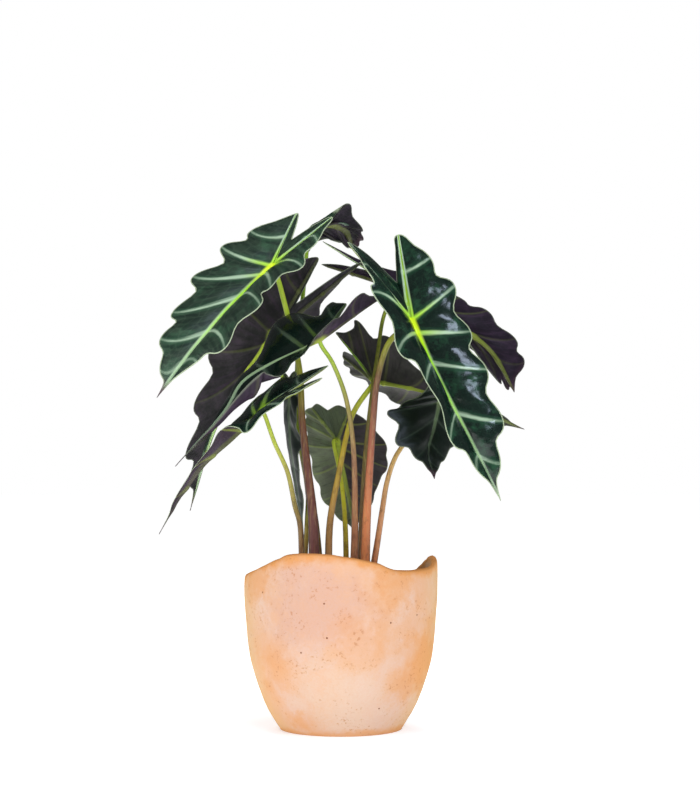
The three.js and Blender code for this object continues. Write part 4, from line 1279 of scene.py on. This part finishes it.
class ALOCASIA_OT_cup(bpy.types.Operator):
    """Make the handmade clay cup"""
    bl_idname = "alocasia.cup"
    bl_label = "Clay cup"

    def execute(self, context):
        settings = context.scene.alocasia_cup
        section = cup_section()
        piece = new_object("clay_cup", section, edges=[(n, n + 1) for n in range(len(section) - 1)])
        grown(piece, cup_tree(), **{
            "Material": clay_material(settings), "Sides": settings.sides, "Rings": settings.rings,
            "Shoulder": SHOULDER * MM, "Lowest rim": RIM_LOW * MM,
            "Rim range": (RIM_HIGH - RIM_LOW) * MM, "Unevenness": settings.unevenness,
        })
        dress(piece, "pot", slot="clay")
        return {"FINISHED"}


class ALOCASIA_OT_soil(bpy.types.Operator):
    """Make the potting mix and the crumbs on it"""
    bl_idname = "alocasia.soil"
    bl_label = "Potting mix"

    def execute(self, context):
        settings = context.scene.alocasia_soil
        piece = soil_piece(settings)
        grown(piece, crumb_tree(), **{
            "Material": soil_material(settings), "Crumbs per square metre": settings.crumbs,
            "Crumb size": settings.crumb_size, "Top height": (SOIL_TOP - CRUMB_DROP) * MM,
            "Brim": (outside_radius(SHOULDER) - POT_WALL - CRUMB_INSET) * MM,
        })
        dress(piece, "soil", slot="potting_mix")
        return {"FINISHED"}


class ALOCASIA_OT_stage(bpy.types.Operator):
    """Make the pale floor, the soft lights and the camera"""
    bl_idname = "alocasia.stage"
    bl_label = "Stage"

    def execute(self, context):
        settings = context.scene.alocasia_stage
        build_floor(settings)
        build_lights(settings)
        build_camera()
        context.scene.view_settings.view_transform = "Standard"
        return {"FINISHED"}


FLOOR_REACH = 4000


def build_floor(settings):
    """A pale painted floor that runs out of sight on all sides. Its own glow keeps it white far
    off and is weaker beside the cup, and there its colour darkens into a painted shadow.
    """
    corners = [(x * FLOOR_REACH, y * FLOOR_REACH, 0) for x, y in ((-1, -1), (1, -1), (1, 1), (-1, 1))]
    floor = new_object("floor", corners, [(0, 1, 2, 3)])
    material, tree = new_material("Pale matt floor")
    place = add(tree, "ShaderNodeTexCoord").outputs["Object"]
    away = add(tree, "ShaderNodeVectorMath", (place,), operation="LENGTH").outputs["Value"]
    glow = mask(tree, (away, 55 * MM, 150 * MM, settings.shaded_glow, settings.floor_glow))
    # painted shadow: the floor's colour darkens round the cup, from 45 to 120 millimetres out
    colour = paint(tree, settings.floor, (settings.painted_floor_shadow, (away, 45 * MM, 120 * MM, 1, 0)))
    shader = add(tree, "ShaderNodeBsdfPrincipled", {
        "Base Color": colour, "Roughness": 0.9, "Specular IOR Level": 0.1,
        "Emission Color": WHITE, "Emission Strength": glow,
    })
    add(tree, "ShaderNodeOutputMaterial", (shader,))
    floor.data.materials.append(material)


LIT_POINT = (0, 0, 0.22)  # metres, amid the leaves
MIRRORED_LAMP = "window"


def build_lights(settings):
    """Soft studio light: a white surround behind the plant that lights it less than it shows, a
    broad ceiling, a large soft light high on the right with a small one beside it, a weaker one on
    the left and one behind. The wax mirrors only the small light, as in the photograph."""
    world = bpy.data.worlds.new("White surround")
    bpy.context.scene.world = world
    world.use_nodes = True
    tree = world.node_tree
    tree.nodes.clear()
    seen = add(tree, "ShaderNodeLightPath").outputs["Is Camera Ray"]
    strength = add(tree, "ShaderNodeMapRange", (seen, 0, 1, settings.surround, 1))
    glow = add(tree, "ShaderNodeBackground", (WHITE, strength))
    add(tree, "ShaderNodeOutputWorld", (glow,))
    lamps = (
        ("ceiling", "SUN", settings.ceiling, math.radians(50), (0.2, -0.45, 1), WHITE),
        ("key", "AREA", settings.key, 0.3, (0.85, -0.95, 0.85), WHITE),
        ("window", "AREA", settings.window, 0.34, (0.3, -1.24, 0.91), settings.daylight),
        ("fill", "AREA", settings.fill, 0.9, (-1.1, -1, 0.45), WHITE),
        ("back", "AREA", settings.back, 0.8, (-0.3, 1.1, 0.9), WHITE),
    )
    for name, kind, strength, size, place, colour in lamps:
        lamp = bpy.data.lights.new(name, kind)
        lamp.energy = strength
        lamp.color = colour
        if kind == "SUN":
            lamp.angle = size
        else:
            lamp.shape = "DISK"
            lamp.size = size
        place_lamp(lamp, place).visible_glossy = name == MIRRORED_LAMP


def place_lamp(lamp, place):
    """Hang a lamp at a place in metres, turned to the plant, and return its object."""
    holder = bpy.data.objects.new(lamp.name, lamp)
    holder.location = place
    way = np.array(LIT_POINT) - place
    tilt = math.pi / 2 + math.atan2(way[2], math.hypot(way[0], way[1]))
    holder.rotation_euler = (tilt, 0, math.atan2(way[1], way[0]) - math.pi / 2)
    bpy.context.scene.collection.objects.link(holder)
    return holder


def build_camera():
    """A level camera with the photograph's view."""
    lens = bpy.data.cameras.new("camera")
    lens.sensor_fit = "VERTICAL"
    lens.sensor_height = SENSOR_HEIGHT
    lens.lens = FOCAL_LENGTH
    holder = bpy.data.objects.new("camera", lens)
    holder.location = [value * MM for value in CAMERA_PLACE]
    holder.rotation_euler = (math.pi / 2, 0, 0)
    bpy.context.scene.collection.objects.link(holder)
    bpy.context.scene.camera = holder


class ALOCASIA_PT_panel(bpy.types.Panel):
    """The plant's pieces, one button each, and their settings"""
    bl_label = "Potted alocasia"
    bl_idname = "ALOCASIA_PT_panel"
    bl_space_type = "VIEW_3D"
    bl_region_type = "UI"
    bl_category = "Alocasia"

    def draw(self, context):
        for operator in OPERATORS:
            self.layout.operator(operator.bl_idname)
        for name, kind in SETTINGS.items():
            box = self.layout.box()
            for label in kind.__annotations__:
                box.prop(getattr(context.scene, name), label)


SETTINGS = {
    "alocasia_leaf": LeafSettings,
    "alocasia_stalk": StalkSettings,
    "alocasia_cup": CupSettings,
    "alocasia_soil": SoilSettings,
    "alocasia_stage": StageSettings,
}
OPERATORS = (ALOCASIA_OT_cup, ALOCASIA_OT_soil, ALOCASIA_OT_blades, ALOCASIA_OT_stalks,
             ALOCASIA_OT_stage)


def register():
    """Add the classes, and each group of settings to the scene."""
    for kind in (*SETTINGS.values(), *OPERATORS, ALOCASIA_PT_panel):
        bpy.utils.register_class(kind)
    for name, kind in SETTINGS.items():
        setattr(bpy.types.Scene, name, bpy.props.PointerProperty(type=kind))


def unregister():
    """Take the settings and the classes away again."""
    for name in SETTINGS:
        delattr(bpy.types.Scene, name)
    for kind in reversed((*SETTINGS.values(), *OPERATORS, ALOCASIA_PT_panel)):
        bpy.utils.unregister_class(kind)


def main():
    """Build everything."""
    register()
    bpy.ops.alocasia.cup()
    bpy.ops.alocasia.soil()
    bpy.ops.alocasia.blades()
    bpy.ops.alocasia.stalks()
    bpy.ops.alocasia.stage()


if __name__ == "__main__":
    main()
